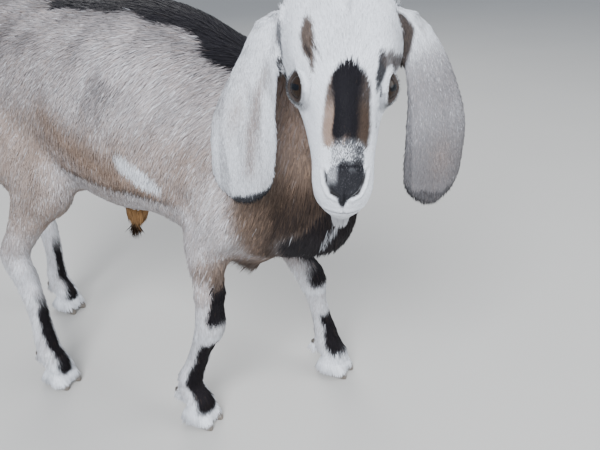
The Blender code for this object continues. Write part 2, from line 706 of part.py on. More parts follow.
def lid_opening(place, look, collection):
    """An almond prism that opens the lids over the eyeball, long axis level along the face."""
    turn = look.to_track_quat("Z", "X").to_matrix().to_4x4()
    along = turn.inverted() @ Vector((1, 0, -0.25))
    spin = math.atan2(along.y, along.x)
    half_long, half_high = LID_OPENING
    rings = []
    for depth in (EYE_RADIUS * 0.35, EYE_RADIUS * 2.2):
        ring = []
        for i in range(24):
            angle = 2 * math.pi * i / 24
            across = math.sin(angle)
            ring.append(Vector((half_long * math.cos(angle), half_high * across * (1 - 0.25 * across**2), depth)))
        rings.append([place + turn @ (Matrix.Rotation(spin, 4, "Z") @ p) for p in ring])
    return rings_to_object("lid_opening", rings, collection)


def nostril(side, collection):
    """A comma-shaped slit that slants up and outwards."""
    place = Vector((NOSTRIL_PLACE.x, side * NOSTRIL_PLACE.y, NOSTRIL_PLACE.z))
    turn = Matrix.Rotation(side * math.radians(-29), 4, "Z") @ Matrix.Rotation(math.radians(15), 4, "Y")
    return ball("nostril", place, 1.0, collection, 14, (0.0125, 0.0021, 0.0062), turn)


def mouth_slit(collection):
    """The line between the lips: a thin plate that runs back from the muzzle's tip and bends down."""
    rings = []
    for i in range(10):
        t = i / 9
        x = 0.2150 - (MOUTH_LENGTH + 0.008) * t
        z = MOUTH_HEIGHT - 0.012 * t + 0.004 * t * t
        half = MOUTH_SLIT / 2 * (1.0 - 0.4 * t)
        rings.append([Vector((x, y, z + dz)) for y, dz in ((-0.05, -half), (0.05, -half), (0.05, half), (-0.05, half))])
    return rings_to_object("mouth_slit", rings, collection)


def ear(name, collection):
    """A long hanging flap: a rolled root, a broad blade with a groove down it and a rounded tip."""
    ahead = Vector((math.cos(HEAD_HEADING), math.sin(HEAD_HEADING), 0))
    side = 1 if name == "ear_left" else -1
    out = Vector((-ahead.y, ahead.x, 0)) * side
    slant = Matrix.Rotation(EAR_SLANT, 3, ahead)
    rows = spline([row[1:] for row in EARS[name]], 4 * EAR_RINGS)
    steps = [round((4 * EAR_RINGS - 1) * (1 - (1 - i / (EAR_RINGS - 1)) ** 1.35)) for i in range(EAR_RINGS)]
    rows = [rows[step] for step in steps]
    points = [HEAD_POINT + slant @ (out * o + Vector((0, 0, u)) + ahead * a) for o, u, a, _ in rows]
    rings = []
    for i, point in enumerate(points):
        t = steps[i] / (4 * EAR_RINGS - 1)
        tangent = (points[min(i + 1, EAR_RINGS - 1)] - points[max(i - 1, 0)]).normalized()
        face = ahead * 0.93 + out * 0.36 + Vector((0, 0, 0.10))
        face = (face - tangent * face.dot(tangent)).normalized()
        wide = tangent.cross(face).normalized()
        fade = math.exp(-(t / 0.22) ** 2)
        curl = EAR_CURL + (EAR_CURL_AT_ROOT - EAR_CURL) * fade
        groove = EAR_GROOVE * math.exp(-((t - 0.62) / 0.26) ** 2)
        half = rows[i][3] * rounding(t)
        rings.append(ear_ring(point, wide, face, half, curl, EAR_THICKNESS * (1.0 - 0.3 * t), groove))
    return rings_to_object(name, rings, collection)


def rounding(t):
    """The share of the flap's width that is left near its rounded tip."""
    past = max(0.0, (t - EAR_TIP_START) / (1.0 - EAR_TIP_START))
    return max(0.30, (1.0 - past**3.2) ** 0.5)


def ear_ring(point, wide, face, half, curl, thick, groove):
    """The section of the flap: an arc of the given half width and curl, grooved and with rounded edges."""
    count = 9
    radius = half / math.sin(curl / 2) if curl < math.pi else half
    outer, inner = [], []
    for i in range(count):
        across = 2 * i / (count - 1) - 1
        angle = curl / 2 * across
        edge = (math.sqrt(max(0.0, 1 - across**4)) * 0.5 + 0.28) * thick
        dip = groove * math.exp(-((across / 0.30) ** 2))
        along = wide * math.sin(angle) + face * math.cos(angle)
        base = point - face * radius * math.cos(curl / 2)
        base = base - face * (radius - radius * math.cos(curl / 2)) * 0.5
        outer.append(base + along * (radius + edge - dip))
        inner.append(base + along * (radius - edge - dip))
    return outer + inner[::-1]


def claws(name, parts):
    """The two claws of a foot: wedges on flat soles, with a steep wall at the toe and a low heel."""
    x, y = FEET[name]
    made = []
    for side, label in ((1, "left"), (-1, "right")):
        rings = []
        for t, height, half in CLAW_SECTIONS:
            px = x + CLAW_LENGTH * (t - 0.48)
            centre = y + side * (CLAW_SPREAD + 0.0030 * t - 0.0010)
            ring = []
            for i in range(CLAW_SIDES):
                angle = 2 * math.pi * (i + 0.5) / CLAW_SIDES
                c, s = math.cos(angle), math.sin(angle)
                across = math.copysign(abs(c) ** 0.7, c) * half
                up = height / 2 * (1 + SOLE_FLATNESS * math.copysign(abs(s) ** 0.5, s))
                up = min(max(up, 0.0), height)
                lean = 1.0 - 0.18 * up / CLAW_HEIGHT
                ring.append(Vector((px, centre + across * lean, up)))
            rings.append(ring)
        made.append(rings_to_object(f"claw_{name}_{label}", rings, parts))
    return made


def dewclaws(name, leg_object, parts, cutters):
    """Two small blunt horns behind the fetlock."""
    x, y = FEET[name]
    made = []
    for side, label in ((1, "left"), (-1, "right")):
        place = Vector((x - 0.0300, y + side * 0.0095, 0.0520))
        turn = Matrix.Rotation(math.radians(28), 4, "Y")
        horn = ball(f"dewclaw_{name}_{label}", place, DEWCLAW_RADIUS, parts, 8, (1.35, 0.9, 1.6), turn)
        boolean(horn, grown(leg_object, GAP, cutters), "DIFFERENCE")
        made.append(largest_shell(horn))
    return made


def eyes(head_turn, parts):
    for side, label in ((1, "left"), (-1, "right")):
        place = head_turn @ Vector((EYE_PLACE.x, side * EYE_PLACE.y, EYE_PLACE.z))
        ball("eye_" + label, place, EYE_RADIUS, parts, 16)


def finish(thing, look, smooth=35):
    thing.data.materials.clear()
    thing.data.materials.append(look)
    thing.data.shade_smooth()
    thing.data.set_sharp_from_angle(angle=math.radians(smooth))


def settle(parts):
    """Moves every object so that the origin is under the middle of the goat's box."""
    low, high = Vector((9, 9, 9)), Vector((-9, -9, -9))
    for thing in parts.objects:
        for vertex in thing.data.vertices:
            p = thing.matrix_world @ vertex.co
            low = Vector(map(min, low, p))
            high = Vector(map(max, high, p))
    shift = Vector(((low.x + high.x) / 2, (low.y + high.y) / 2, low.z))
    for thing in parts.objects:
        thing.data.transform(Matrix.Translation(-shift))
    return shift


def main():
    clear_scene()
    draw = random.Random(4)
    parts = new_collection("goat")
    cutters = new_collection("cutters", hidden=True)
    coat = material("coat", COAT, 0.8)
    white = material("face_white", FACE_WHITE, 0.8)
    horn = material("horn", HORN, 0.5)
    iris = material("eye", EYE_BROWN, 0.15)

    body = flesh(parts, cutters)
    nodes = part_body(body, parts, cutters, draw)

    turn = head_matrix()
    skull = head(parts, cutters)
    skull.data.transform(turn)
    eyes(turn, parts)
    boolean(nodes["neck"], grown(skull, GAP, cutters), "DIFFERENCE")
    largest_shell(nodes["neck"])
    boolean(nodes["torso"], grown(skull, GAP, cutters), "DIFFERENCE")
    for name in EARS:
        flap = ear(name, parts)
        boolean(flap, grown(skull, GAP, cutters), "DIFFERENCE")
        boolean(flap, grown(nodes["neck"], GAP, cutters), "DIFFERENCE")
        largest_shell(flap)
    for name in FEET:
        for claw in claws(name, parts):
            boolean(claw, grown(nodes["leg_" + name], GAP, cutters), "DIFFERENCE")
        dewclaws(name, nodes["leg_" + name], parts, cutters)

    for thing in parts.objects:
        label = thing.name
        if label.startswith(("claw", "dewclaw")):
            finish(thing, horn)
        elif label.startswith("eye"):
            finish(thing, iris)
        elif label.startswith(("head", "ear")):
            finish(thing, white)
        else:
            finish(thing, coat)
    settle(parts)


main()
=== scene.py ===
"""A young Nubian goat with its coat, eyes and hooves, on a plain stage."""

import math

import bmesh
import bpy
import numpy as np
from bpy.props import FloatProperty, FloatVectorProperty, IntProperty, PointerProperty
from mathutils import Matrix, Vector
from mathutils.bvhtree import BVHTree


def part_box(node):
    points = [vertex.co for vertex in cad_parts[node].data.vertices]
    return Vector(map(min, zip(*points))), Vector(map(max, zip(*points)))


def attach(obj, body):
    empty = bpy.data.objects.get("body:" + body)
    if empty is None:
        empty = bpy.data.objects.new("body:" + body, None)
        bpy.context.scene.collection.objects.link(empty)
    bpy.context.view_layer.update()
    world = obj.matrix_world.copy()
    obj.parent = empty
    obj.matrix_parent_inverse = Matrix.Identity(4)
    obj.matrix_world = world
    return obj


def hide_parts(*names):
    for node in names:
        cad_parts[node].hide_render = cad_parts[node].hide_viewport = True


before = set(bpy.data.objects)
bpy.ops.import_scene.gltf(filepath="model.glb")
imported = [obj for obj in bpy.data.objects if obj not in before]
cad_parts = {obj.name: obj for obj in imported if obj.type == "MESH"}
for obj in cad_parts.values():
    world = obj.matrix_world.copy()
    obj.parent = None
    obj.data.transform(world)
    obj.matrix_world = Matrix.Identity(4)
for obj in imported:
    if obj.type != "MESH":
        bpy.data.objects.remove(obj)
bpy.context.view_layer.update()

bl_info = {
    "name": "Nubian goat",
    "version": (1, 0, 0),
    "blender": (4, 5, 0),
    "location": "3D View > Sidebar > Goat",
    "description": "A young Nubian goat with coat, eyes and hooves, and a plain stage",
    "category": "Add Mesh",
}

FEET = ("fore_right", "fore_left", "hind_right", "hind_left")

# The head's own frame: x from the poll to the muzzle, y to the goat's left, z out of the forehead
HEAD_HEADING = math.radians(-57)
HEAD_DROOP = math.radians(52)
HEAD_TILT = math.radians(-5)
HEAD_POINT = Vector((0.3375, -0.0900, 0.5200))
HEAD_POINT_ALONG = Vector((0.083, 0.0, 0.012))
EYE_PLACE = Vector((0.0935, 0.0342, 0.0130))
EYE_LOOK = Vector((0.28, 1.0, 0.68)).normalized()
EYE_RADIUS = 0.0152
# Half length of the lids' opening, then its half height above and below
LID_OPENING = (0.0114, 0.0090, 0.0082)
BROW_RIDGE = (
    (0.060, 0.0500, 0.014), (0.078, 0.0460, 0.0255), (0.092, 0.0395, 0.0300), (0.104, 0.0355, 0.0270),
)
NOSTRIL_LINE = (
    (0.1750, 0.0185, 0.0140), (0.1840, 0.0158, 0.0090), (0.1925, 0.0115, 0.0062), (0.1975, 0.0060, 0.0070),
)
NOSTRIL_WIDTHS = (0.0008, 0.0017, 0.0020, 0.0007)

# The plane inside the neck where the head's skin ends, in the goat's frame, and how thick that end is
STUB_MIDDLE = Vector((0.262, 0.004, 0.474))
STUB_WAY = Vector((0.62, -0.42, 0.66)).normalized()
STUB_END = 0.006

# How far copies of the nodes grow before the skin is remeshed from them
BODY_GROWTH = 0.0002
HEAD_GROWTH = {
    "head": 0.0009, "ear_left": 0.0002, "ear_right": 0.0002, "eye_left": 0.0006, "eye_right": 0.0006,
}
STUB_GROWTH = 0.0004
CLAW_GROWTH = 0.0026
DEWCLAW_GROWTH = 0.0010

# How far the dewclaws' own pieces shrink, so that the hair stands round them
SPUR_GROWTH = -0.0013

# Depth of the skin inside the coat's outline at heights above the floor, and inside the neck
SKIN_DEPTHS = ((0.030, 0.0010), (0.100, 0.0014), (0.200, 0.0020), (0.270, 0.0036), (0.330, 0.0056))
HIDDEN_DEPTH = 0.0045

# Where the hair of the feet ends, and how far the skin of the breast rises
HAIR_BOTTOM = 0.012
BREAST_RISE = 0.014

# Lengths of the hair: on the back and sides, down the legs, on the forehead and on the ears, and the
# locks of the tail and the tuft of the sheath
BODY_HAIR, LEG_HAIR, FACE_HAIR, EAR_HAIR = 0.0170, 0.0135, 0.0092, 0.0062
TAIL_HAIR, SHEATH_HAIR = 0.036, 0.030

# Tufts for each square metre, and how far they stand up from the skin in radians
BODY_TUFTS, HEAD_TUFTS, EAR_TUFTS, TAIL_TUFTS, SHEATH_TUFTS = 0.150e6, 0.46e6, 0.55e6, 0.45e6, 0.50e6
BODY_LIFT, HEAD_LIFT, EAR_LIFT, TAIL_LIFT = 0.15, 0.24, 0.18, 0.25

# A tuft: its width as a share of its length, its least and greatest width, and for its four corners its
# painted shade (darker at the sunk root, a little lighter at the tip) and where each lies in its patch of the
# unwrap
TUFT_WIDTH_SHARE = 0.072
TUFT_WIDTHS = (0.0006, 0.0016)
TUFT_PAINTED_SHADE = (0.74, 0.98, 0.98, 1.06)
TUFT_PATCH = ((0.0, -0.0015), (0.0012, 0.0), (-0.0012, 0.0), (0.0, 0.0015))

# Where a tuft's colour is read: how far along it, and how high above the skin of the body and elsewhere
SEEN_ALONG = 0.72
SEEN_ABOVE_BODY, SEEN_ABOVE = 0.0042, 0.0010

# How far the colours of single tufts blend into the mean of their place, and how much less in the speckles
BLEND, HEAD_BLEND, SPECKLE_BLEND_CUT = 0.72, 0.74, 0.52

# The stage, with the camera at the photograph's angle in the goat's frame
FLOOR_RADIUS = 9.0
CAMERA_PLACE = Vector((0.5977, -0.6376, 0.6645))
CAMERA_YAW, CAMERA_PITCH, CAMERA_ROLL = math.radians(120), math.radians(26), math.radians(-3.5)
LIGHT_TARGET = (0.1, 0, 0.35)

# The hair's pigments, in the order that every share of them is kept in
PIGMENTS = ("white", "beige", "tan", "brown", "black", "grey", "ochre")


def middle_of(node):
    """The middle of a CAD node's box."""
    low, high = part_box(node)
    return (low + high) / 2


def head_turn():
    """How the head's frame is turned, as a matrix."""
    forward = Vector((math.cos(HEAD_HEADING), math.sin(HEAD_HEADING), 0))
    up = Vector((0, 0, 1))
    along = forward * math.cos(HEAD_DROOP) - up * math.sin(HEAD_DROOP)
    out = forward * math.sin(HEAD_DROOP) + up * math.cos(HEAD_DROOP)
    left = out.cross(along)
    turn = Matrix((along, left, out)).transposed().to_4x4()
    return turn @ Matrix.Rotation(HEAD_TILT, 4, "Z")


EYES_MIDDLE = (middle_of("eye_left") + middle_of("eye_right")) / 2
FACE_MIDDLE = Vector((EYE_PLACE.x, 0, EYE_PLACE.z))
HEAD = Matrix.Translation(EYES_MIDDLE) @ head_turn() @ Matrix.Translation(-FACE_MIDDLE)
GOAT_SHIFT = HEAD @ HEAD_POINT_ALONG - HEAD_POINT
STUB_POINT = STUB_MIDDLE + GOAT_SHIFT
HEAD_AHEAD = Vector((math.cos(HEAD_HEADING), math.sin(HEAD_HEADING), 0))
HEAD_SIDE = Vector((-HEAD_AHEAD.y, HEAD_AHEAD.x, 0))


def coords(mesh):
    """The places of a mesh's vertices."""
    co = np.empty(len(mesh.vertices) * 3, np.float32)
    mesh.vertices.foreach_get("co", co)
    return co.reshape(-1, 3).astype(float)


def set_coords(mesh, co):
    mesh.vertices.foreach_set("co", np.asarray(co, np.float32).ravel())
    mesh.update()


def normals(mesh):
    """The outward directions of a mesh's vertices."""
    n = np.empty(len(mesh.vertices) * 3, np.float32)
    mesh.vertex_normals.foreach_get("vector", n)
    return n.reshape(-1, 3).astype(float)


def to_local(matrix, points):
    """Points of the world in a frame of their own."""
    inverse = np.array(matrix.inverted())
    return points @ inverse[:3, :3].T + inverse[:3, 3]


def to_world(matrix, points):
    """Points of a frame of their own in the world."""
    m = np.array(matrix)
    return points @ m[:3, :3].T + m[:3, 3]


def to_goat(points):
    """Points of the world in the goat's frame."""
    return points - np.array(GOAT_SHIFT)


def mirrored(h):
    """Points in the head's frame, all brought to its left side."""
    return np.stack([h[:, 0], np.abs(h[:, 1]), h[:, 2]], 1)


def fade(low, high, x):
    """0 below low, 1 above high, and smooth between."""
    t = np.clip((x - low) / (high - low), 0.0, 1.0)
    return t * t * (3 - 2 * t)


def hill(points, centre, radii):
    """1 at a centre, fading out over radii."""
    return np.exp(-(((points - np.array(centre)) / np.array(radii)) ** 2).sum(1))


def bell(x, width):
    """1 at 0, fading out over a width on both sides."""
    return np.exp(-((x / width) ** 2))


def unit(v):
    """Directions at length 1."""
    return v / np.maximum(np.linalg.norm(v, axis=1, keepdims=True), 1e-9)


def ripple(points, scale, seed):
    """A smooth wandering value near -1 to 1, from a few seeded waves."""
    draw = np.random.default_rng(seed)
    value = np.zeros(len(points))
    for _ in range(6):
        direction = draw.normal(size=3)
        direction /= np.linalg.norm(direction)
        value += np.sin(points @ direction * draw.uniform(0.6, 1.6) / scale + draw.uniform(0, 6.3))
    return value / 2.6


def select_only(*things):
    bpy.ops.object.select_all(action="DESELECT")
    for thing in things:
        thing.select_set(True)
    bpy.context.view_layer.objects.active = things[0]


def new_object(name, data):
    """A new object of the scene."""
    made = bpy.data.objects.new(name, data)
    bpy.context.scene.collection.objects.link(made)
    return made


def rename(thing, name):
    """Names an object and its mesh."""
    thing.name = name
    thing.data.name = name


def edit_all(thing, operator, **settings):
    """Runs one operator of edit mode on the whole of a mesh."""
    select_only(thing)
    bpy.ops.object.mode_set(mode="EDIT")
    bpy.ops.mesh.select_all(action="SELECT")
    operator(**settings)
    bpy.ops.object.mode_set(mode="OBJECT")


def cut_off(thing, place, way):
    """Cuts off what lies behind a plane, and closes the cut."""
    edit_all(thing, bpy.ops.mesh.bisect, plane_co=place, plane_no=way, use_fill=True, clear_inner=True)


def apply(thing, kind, **settings):
    """Adds one modifier, gives it its settings and applies it."""
    select_only(thing)
    modifier = thing.modifiers.new(kind.lower(), kind)
    for key, value in settings.items():
        setattr(modifier, key, value)
    bpy.ops.object.modifier_apply(modifier=modifier.name)


def node_copy(name, grow=0.0):
    """A CAD node's mesh as a new object, with its doubles merged and its surface moved outwards."""
    made = new_object(name + "_copy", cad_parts[name].data.copy())
    made.data.materials.clear()
    edit_all(made, bpy.ops.mesh.remove_doubles, threshold=0.00001)
    if grow:
        apply(made, "DISPLACE", strength=grow, mid_level=0.0)
    return made


def joined(things, name):
    """Joins objects into one, under a new name."""
    select_only(*things)
    bpy.ops.object.join()
    made = bpy.context.view_layer.objects.active
    rename(made, name)
    return made


def tube(name, rows):
    """A tapered rod through points in the goat's frame, each with its radius."""
    curve = bpy.data.curves.new(name, "CURVE")
    curve.dimensions = "3D"
    curve.bevel_depth = 1.0
    curve.bevel_resolution = 4
    curve.use_fill_caps = True
    line = curve.splines.new("POLY")
    line.points.add(len(rows) - 1)
    for point, (x, y, z, radius) in zip(line.points, rows):
        point.co = (x + GOAT_SHIFT.x, y + GOAT_SHIFT.y, z + GOAT_SHIFT.z, 1)
        point.radius = radius
    made = new_object(name, curve)
    select_only(made)
    bpy.ops.object.convert(target="MESH")
    return bpy.context.view_layer.objects.active


# The bare tail and sheath under their hair: points in the goat's frame and radii
TAIL_CORE = (
    (-0.262, 0, 0.528, 0.017),
    (-0.304, 0, 0.538, 0.0125),
    (-0.330, 0, 0.551, 0.0095),
    (-0.350, 0, 0.568, 0.0070),
    (-0.361, 0, 0.584, 0.0045),
)
SHEATH_CORE = (
    (-0.030, 0, 0.320, 0.022),
    (-0.038, 0, 0.298, 0.016),
    (-0.045, 0, 0.276, 0.0105),
    (-0.049, 0, 0.262, 0.0060),
)


def surface_of(*names):
    """A search tree over the faces of CAD nodes."""
    points, faces = [], []
    for name in names:
        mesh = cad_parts[name].data
        mesh.calc_loop_triangles()
        start = len(points)
        points += [v.co.copy() for v in mesh.vertices]
        faces += [tuple(start + i for i in t.vertices) for t in mesh.loop_triangles]
    return BVHTree.FromPolygons(points, faces)


def distance_to(tree, points):
    """How far each point lies from the surface of a search tree."""
    return np.array([tree.find_nearest(p)[3] for p in points])


def shape_face(points):
    """The finer forms of the face, as moves in the head's own frame."""
    side = np.where(points[:, 1] >= 0, 1.0, -1.0)
    q = points.copy()
    q[:, 1] *= side

    # The brow's ridge, from the ear's root down to the inner corner of the eye
    ridge = stroke(q, BROW_RIDGE, 0.0010, 0.0042)
    q = q + ridge[:, None] * np.array((0.0, 0.0010, 0.0016))

    # Lids: an almond opening with a rolled margin, and a fold above and below
    past, above = lid_reach(q)
    d = q - np.array(EYE_PLACE)
    r = np.linalg.norm(d, axis=1)
    near = (r < 0.032) & (d @ np.array(EYE_LOOK) > 0)
    lid = EYE_RADIUS + np.interp(
        past, [-0.0024, -0.0008, 0.0, 0.0008, 0.0020], [-0.0050, -0.0034, 0.0002, 0.0012, 0.0019]
    )
    fold_up = 0.0011 * bell(past - 0.0046, 0.0011) * above
    fold_down = 0.0007 * bell(past - 0.0040, 0.0011) * ~above
    roll = 0.0007 * bell(past - 0.0022, 0.0012)
    outside = np.maximum(r, lid) + roll - fold_up - fold_down
    wanted = np.where(past > 0.0012, outside, lid)
    wanted = np.where(near, wanted, r)
    q = np.array(EYE_PLACE) + d * (wanted / np.maximum(r, 1e-6))[:, None]

    # Nostrils: curved slits with a raised wing over each
    slit = edge_of(q, NOSTRIL_LINE, NOSTRIL_WIDTHS)
    inward = np.array((-0.45, -0.50, -0.74))
    hole = fade(-0.0012, 0.0012, slit)
    wing = bell(slit + 0.0034, 0.0016)
    q = q + inward * (0.0060 * hole - 0.0012 * wing)[:, None]

    # The line of the mouth, deeper towards its corner, with soft lips on both sides
    off, here = mouth_place(q)
    line = bell(off, 0.0012) * here
    upper = bell(off - 0.0045, 0.0028) * here
    lower = bell(off + 0.0042, 0.0026) * here
    away = np.stack([np.where(q[:, 0] > 0.196, 1.0, 0.15), np.abs(q[:, 1]) / 0.02, np.zeros(len(q))], 1)
    q = q + unit(away + 1e-6) * (0.0009 * upper + 0.0007 * lower - 0.0028 * line)[:, None]

    # The groove from the nose down the upper lip
    groove = bell(q[:, 1], 0.0012) * fade(0.190, 0.198, q[:, 0]) * (off > -0.0005)
    q[:, 0] -= 0.0014 * groove
    q[:, 1] *= side
    return q


def shape_ears(points):
    """Draws the inner edge of the right ear away from the eye."""
    up, across, _, side = ear_place(points)
    drawn = 0.0044 * fade(0.3, -1.0, across) * fade(0.028, 0.010, up) * fade(-0.070, -0.030, up) * (side < 0)
    return points - drawn[:, None] * np.array(HEAD_SIDE)


def build_skin(head_voxel, body_voxel):
    """The skin under the coat: a fine head and ears whose throat runs into a coarser body."""
    coarse = [node_copy(name, BODY_GROWTH) for name in ("torso", "neck")]
    coarse += [node_copy("leg_" + foot, BODY_GROWTH) for foot in FEET]
    coarse += [tube("tail_core", TAIL_CORE), tube("sheath_core", SHEATH_CORE)]
    coarse += [foot_copy(name) for name in sorted(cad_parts) if "claw" in name]
    body = joined(coarse, "goat_body")
    apply(body, "REMESH", mode="VOXEL", voxel_size=body_voxel, adaptivity=0.0)
    apply(body, "SMOOTH", factor=0.5, iterations=6)
    low = np.flatnonzero(coords(body.data)[:, 2] < 0.075)
    body.vertex_groups.new(name="feet").add(low.tolist(), 1.0, "REPLACE")
    apply(body, "SMOOTH", factor=0.5, iterations=10, vertex_group="feet")

    fine = [node_copy(name, growth) for name, growth in HEAD_GROWTH.items()]
    stub = node_copy("neck", STUB_GROWTH)
    cut_off(stub, STUB_POINT, STUB_WAY)
    head = joined(fine + [stub], "goat_head")
    apply(head, "REMESH", mode="VOXEL", voxel_size=head_voxel, adaptivity=0.0)
    apply(head, "SMOOTH", factor=0.5, iterations=5)
    subdivide_face(head)
    return body, head


def foot_copy(name):
    """A claw's or dewclaw's copy, cut above the ground, that the hair of the foot grows on."""
    made = node_copy(name, CLAW_GROWTH if name.startswith("claw") else DEWCLAW_GROWTH)
    cut_off(made, (0, 0, HAIR_BOTTOM), (0, 0, 1))
    return made


def subdivide_face(head):
    """Subdivides the faces round the eyes, the nostrils and the lips once."""
    q = mirrored(to_local(HEAD, coords(head.data)))
    round_eye = np.linalg.norm(q - np.array(EYE_PLACE) - 0.010 * np.array(EYE_LOOK), axis=1) < 0.0215
    muzzle = (q[:, 0] > 0.168) & (q[:, 2] > -0.034)
    wanted = round_eye | muzzle
    select_only(head)
    bpy.ops.object.mode_set(mode="EDIT")
    bpy.ops.mesh.select_all(action="DESELECT")
    bpy.ops.object.mode_set(mode="OBJECT")
    for face in head.data.polygons:
        face.select = all(wanted[v] for v in face.vertices)
    bpy.ops.object.mode_set(mode="EDIT")
    bpy.ops.mesh.select_mode(type="FACE")
    bpy.ops.mesh.subdivide(number_cuts=1, smoothness=0.6)
    bpy.ops.object.mode_set(mode="OBJECT")


def stub_reach(points):
    """How far a point lies past the plane where the head's skin ends inside the neck."""
    return (points - np.array(STUB_POINT)) @ np.array(STUB_WAY)


def pigment_table():
    """The colours of the pigments, in their order."""
    settings = bpy.context.scene.goat_coat
    return np.array([tuple(getattr(settings, name)) for name in PIGMENTS])


def mix_pigments(weights, mask, **shares):
    """Covers the pigments under a mask with others."""
    target = np.array([shares.get(name, 0.0) for name in PIGMENTS])
    target = target / target.sum()
    mask = np.clip(mask, 0, 1)[:, None]
    weights *= 1 - mask
    weights += mask * target


def edge_of(points, path, radius):
    """How far inside a broken line of some width each point lies, negative outside."""
    path = np.array(path, float)
    radius = np.broadcast_to(np.array(radius, float), (len(path),))
    best = np.full(len(points), -1e9)
    for a, b, ra, rb in zip(path[:-1], path[1:], radius[:-1], radius[1:]):
        along = b - a
        t = np.clip((points - a) @ along / (along @ along), 0, 1)
        gap = np.linalg.norm(points - (a + t[:, None] * along), axis=1)
        best = np.maximum(best, (ra + (rb - ra) * t) - gap)
    return best


def stroke(points, path, radius, soft):
    """1 on a broken line of points, fading out from radius over soft."""
    return fade(-soft, soft, edge_of(points, path, radius))


def lid_reach(q):
    """How far past the rim of the lids each point of the mirrored head lies, and whether it is above."""
    look = np.array(EYE_LOOK)
    along = np.array((1.0, 0.0, -0.25))
    along -= look * along.dot(look)
    along /= np.linalg.norm(along)
    over = np.cross(look, along)
    over *= np.sign(over[2])
    d = q - np.array(EYE_PLACE)
    u, v = d @ along, d @ over
    high = np.where(v > 0, LID_OPENING[1], LID_OPENING[2])
    almond = np.hypot(u / LID_OPENING[0], v / high * (1 + 0.10 * (u / LID_OPENING[0]) ** 2))
    past = (almond - 1) * 0.0095
    return np.where(d @ look > 0, past, 1.0), v > 0


def mouth_place(q):
    """How far above the line of the mouth each point of the mirrored head lies, and 1 along the line."""
    t = (0.2150 - q[:, 0]) / 0.064
    level = -0.0175 - 0.0125 * t + 0.004 * t * t
    level = level + 0.0115 * fade(0.30, 0.0, t)
    here = fade(0.0, 0.08, 1.04 - t) * (t > -0.4)
    return q[:, 2] - level, here


def leg_lines():
    """For each leg, its middle and radius at rising heights, from slices of its solid."""
    lines = {}
    for foot in FEET:
        co = coords(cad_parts["leg_" + foot].data)
        heights = np.arange(0.035, 0.245, 0.010)
        rows = []
        for z in heights:
            ring = co[np.abs(co[:, 2] - z) < 0.012]
            low, high = ring.min(0), ring.max(0)
            rows.append((*(low + high)[:2] / 2, *(high - low)[:2] / 2))
        lines[foot] = (heights, np.array(rows))
    return lines


def leg_place(points, lines):
    """How far to the front and to the side of its own leg each low point lies, as shares of its radius."""
    front = np.zeros(len(points))
    across = np.zeros(len(points))
    best = np.full(len(points), 1e9)
    for heights, rows in lines.values():
        at = [np.interp(points[:, 2], heights, rows[:, i]) for i in range(4)]
        gap = np.hypot(points[:, 0] - at[0], points[:, 1] - at[1])
        mine = gap < best
        best = np.where(mine, gap, best)
        front = np.where(mine, (points[:, 0] - at[0]) / at[2], front)
        across = np.where(mine, (points[:, 1] - at[1]) / at[3], across)
    return front, across, best


LEG_LINES = leg_lines()

# The middle line of each ear: height above the point between the eyes, distance out and half width
EAR_LINES = {
    1: np.array((
        (0.040, 0.040, 0.015), (0.033, 0.061, 0.020), (0.007, 0.083, 0.0235), (-0.023, 0.096, 0.030),
        (-0.058, 0.1015, 0.0365), (-0.094, 0.102, 0.0365), (-0.124, 0.1015, 0.035), (-0.141, 0.101, 0.033),
    )),
    -1: np.array((
        (0.040, 0.040, 0.014), (0.034, 0.058, 0.019), (0.012, 0.072, 0.0215), (-0.018, 0.085, 0.029),
        (-0.054, 0.095, 0.0355), (-0.090, 0.099, 0.0345), (-0.116, 0.101, 0.033), (-0.131, 0.102, 0.031),
    )),
}


def ear_place(points):
    """Height and share across (-1 inner edge, 1 outer edge) of points on the ears, and the tip's height."""
    o = points - np.array(HEAD_POINT + GOAT_SHIFT)
    out = o @ np.array(HEAD_SIDE)
    side = np.where(out > 0, 1, -1)
    across = np.zeros(len(points))
    tip = np.zeros(len(points))
    for s, rows in EAR_LINES.items():
        rows = rows[::-1]
        middle = np.interp(o[:, 2], rows[:, 0], rows[:, 1])
        half = np.interp(o[:, 2], rows[:, 0], rows[:, 2])
        mine = side == s
        across = np.where(mine, (out * s - middle) / half, across)
        tip = np.where(mine, rows[0, 0], tip)
    return o[:, 2], across, tip, side


# The parts of the skin, as its attribute of that name numbers them
ON_BODY, ON_HEAD, ON_EAR = 0, 1, 2

# The body's markings in the goat's frame: heights, sides and half widths at places along it
BELLY_EDGE = (
    (-0.20, 0.372), (-0.076, 0.364), (-0.019, 0.355), (0.047, 0.346), (0.111, 0.341), (0.150, 0.326),
)
CHEST_TOP = ((0.220, 0.303), (0.237, 0.318), (0.268, 0.330), (0.285, 0.352), (0.295, 0.367), (0.310, 0.400))
NECK_AXIS = ((0.20, 0.006), (0.252, 0.006), (0.286, -0.020), (0.304, -0.052), (0.316, -0.074))
BACK_HALF_WIDTH = (
    (-0.33, 0.014), (-0.25, 0.020), (-0.11, 0.026), (0.0, 0.038),
    (0.09, 0.041), (0.17, 0.034), (0.25, 0.022), (0.30, 0.015),
)
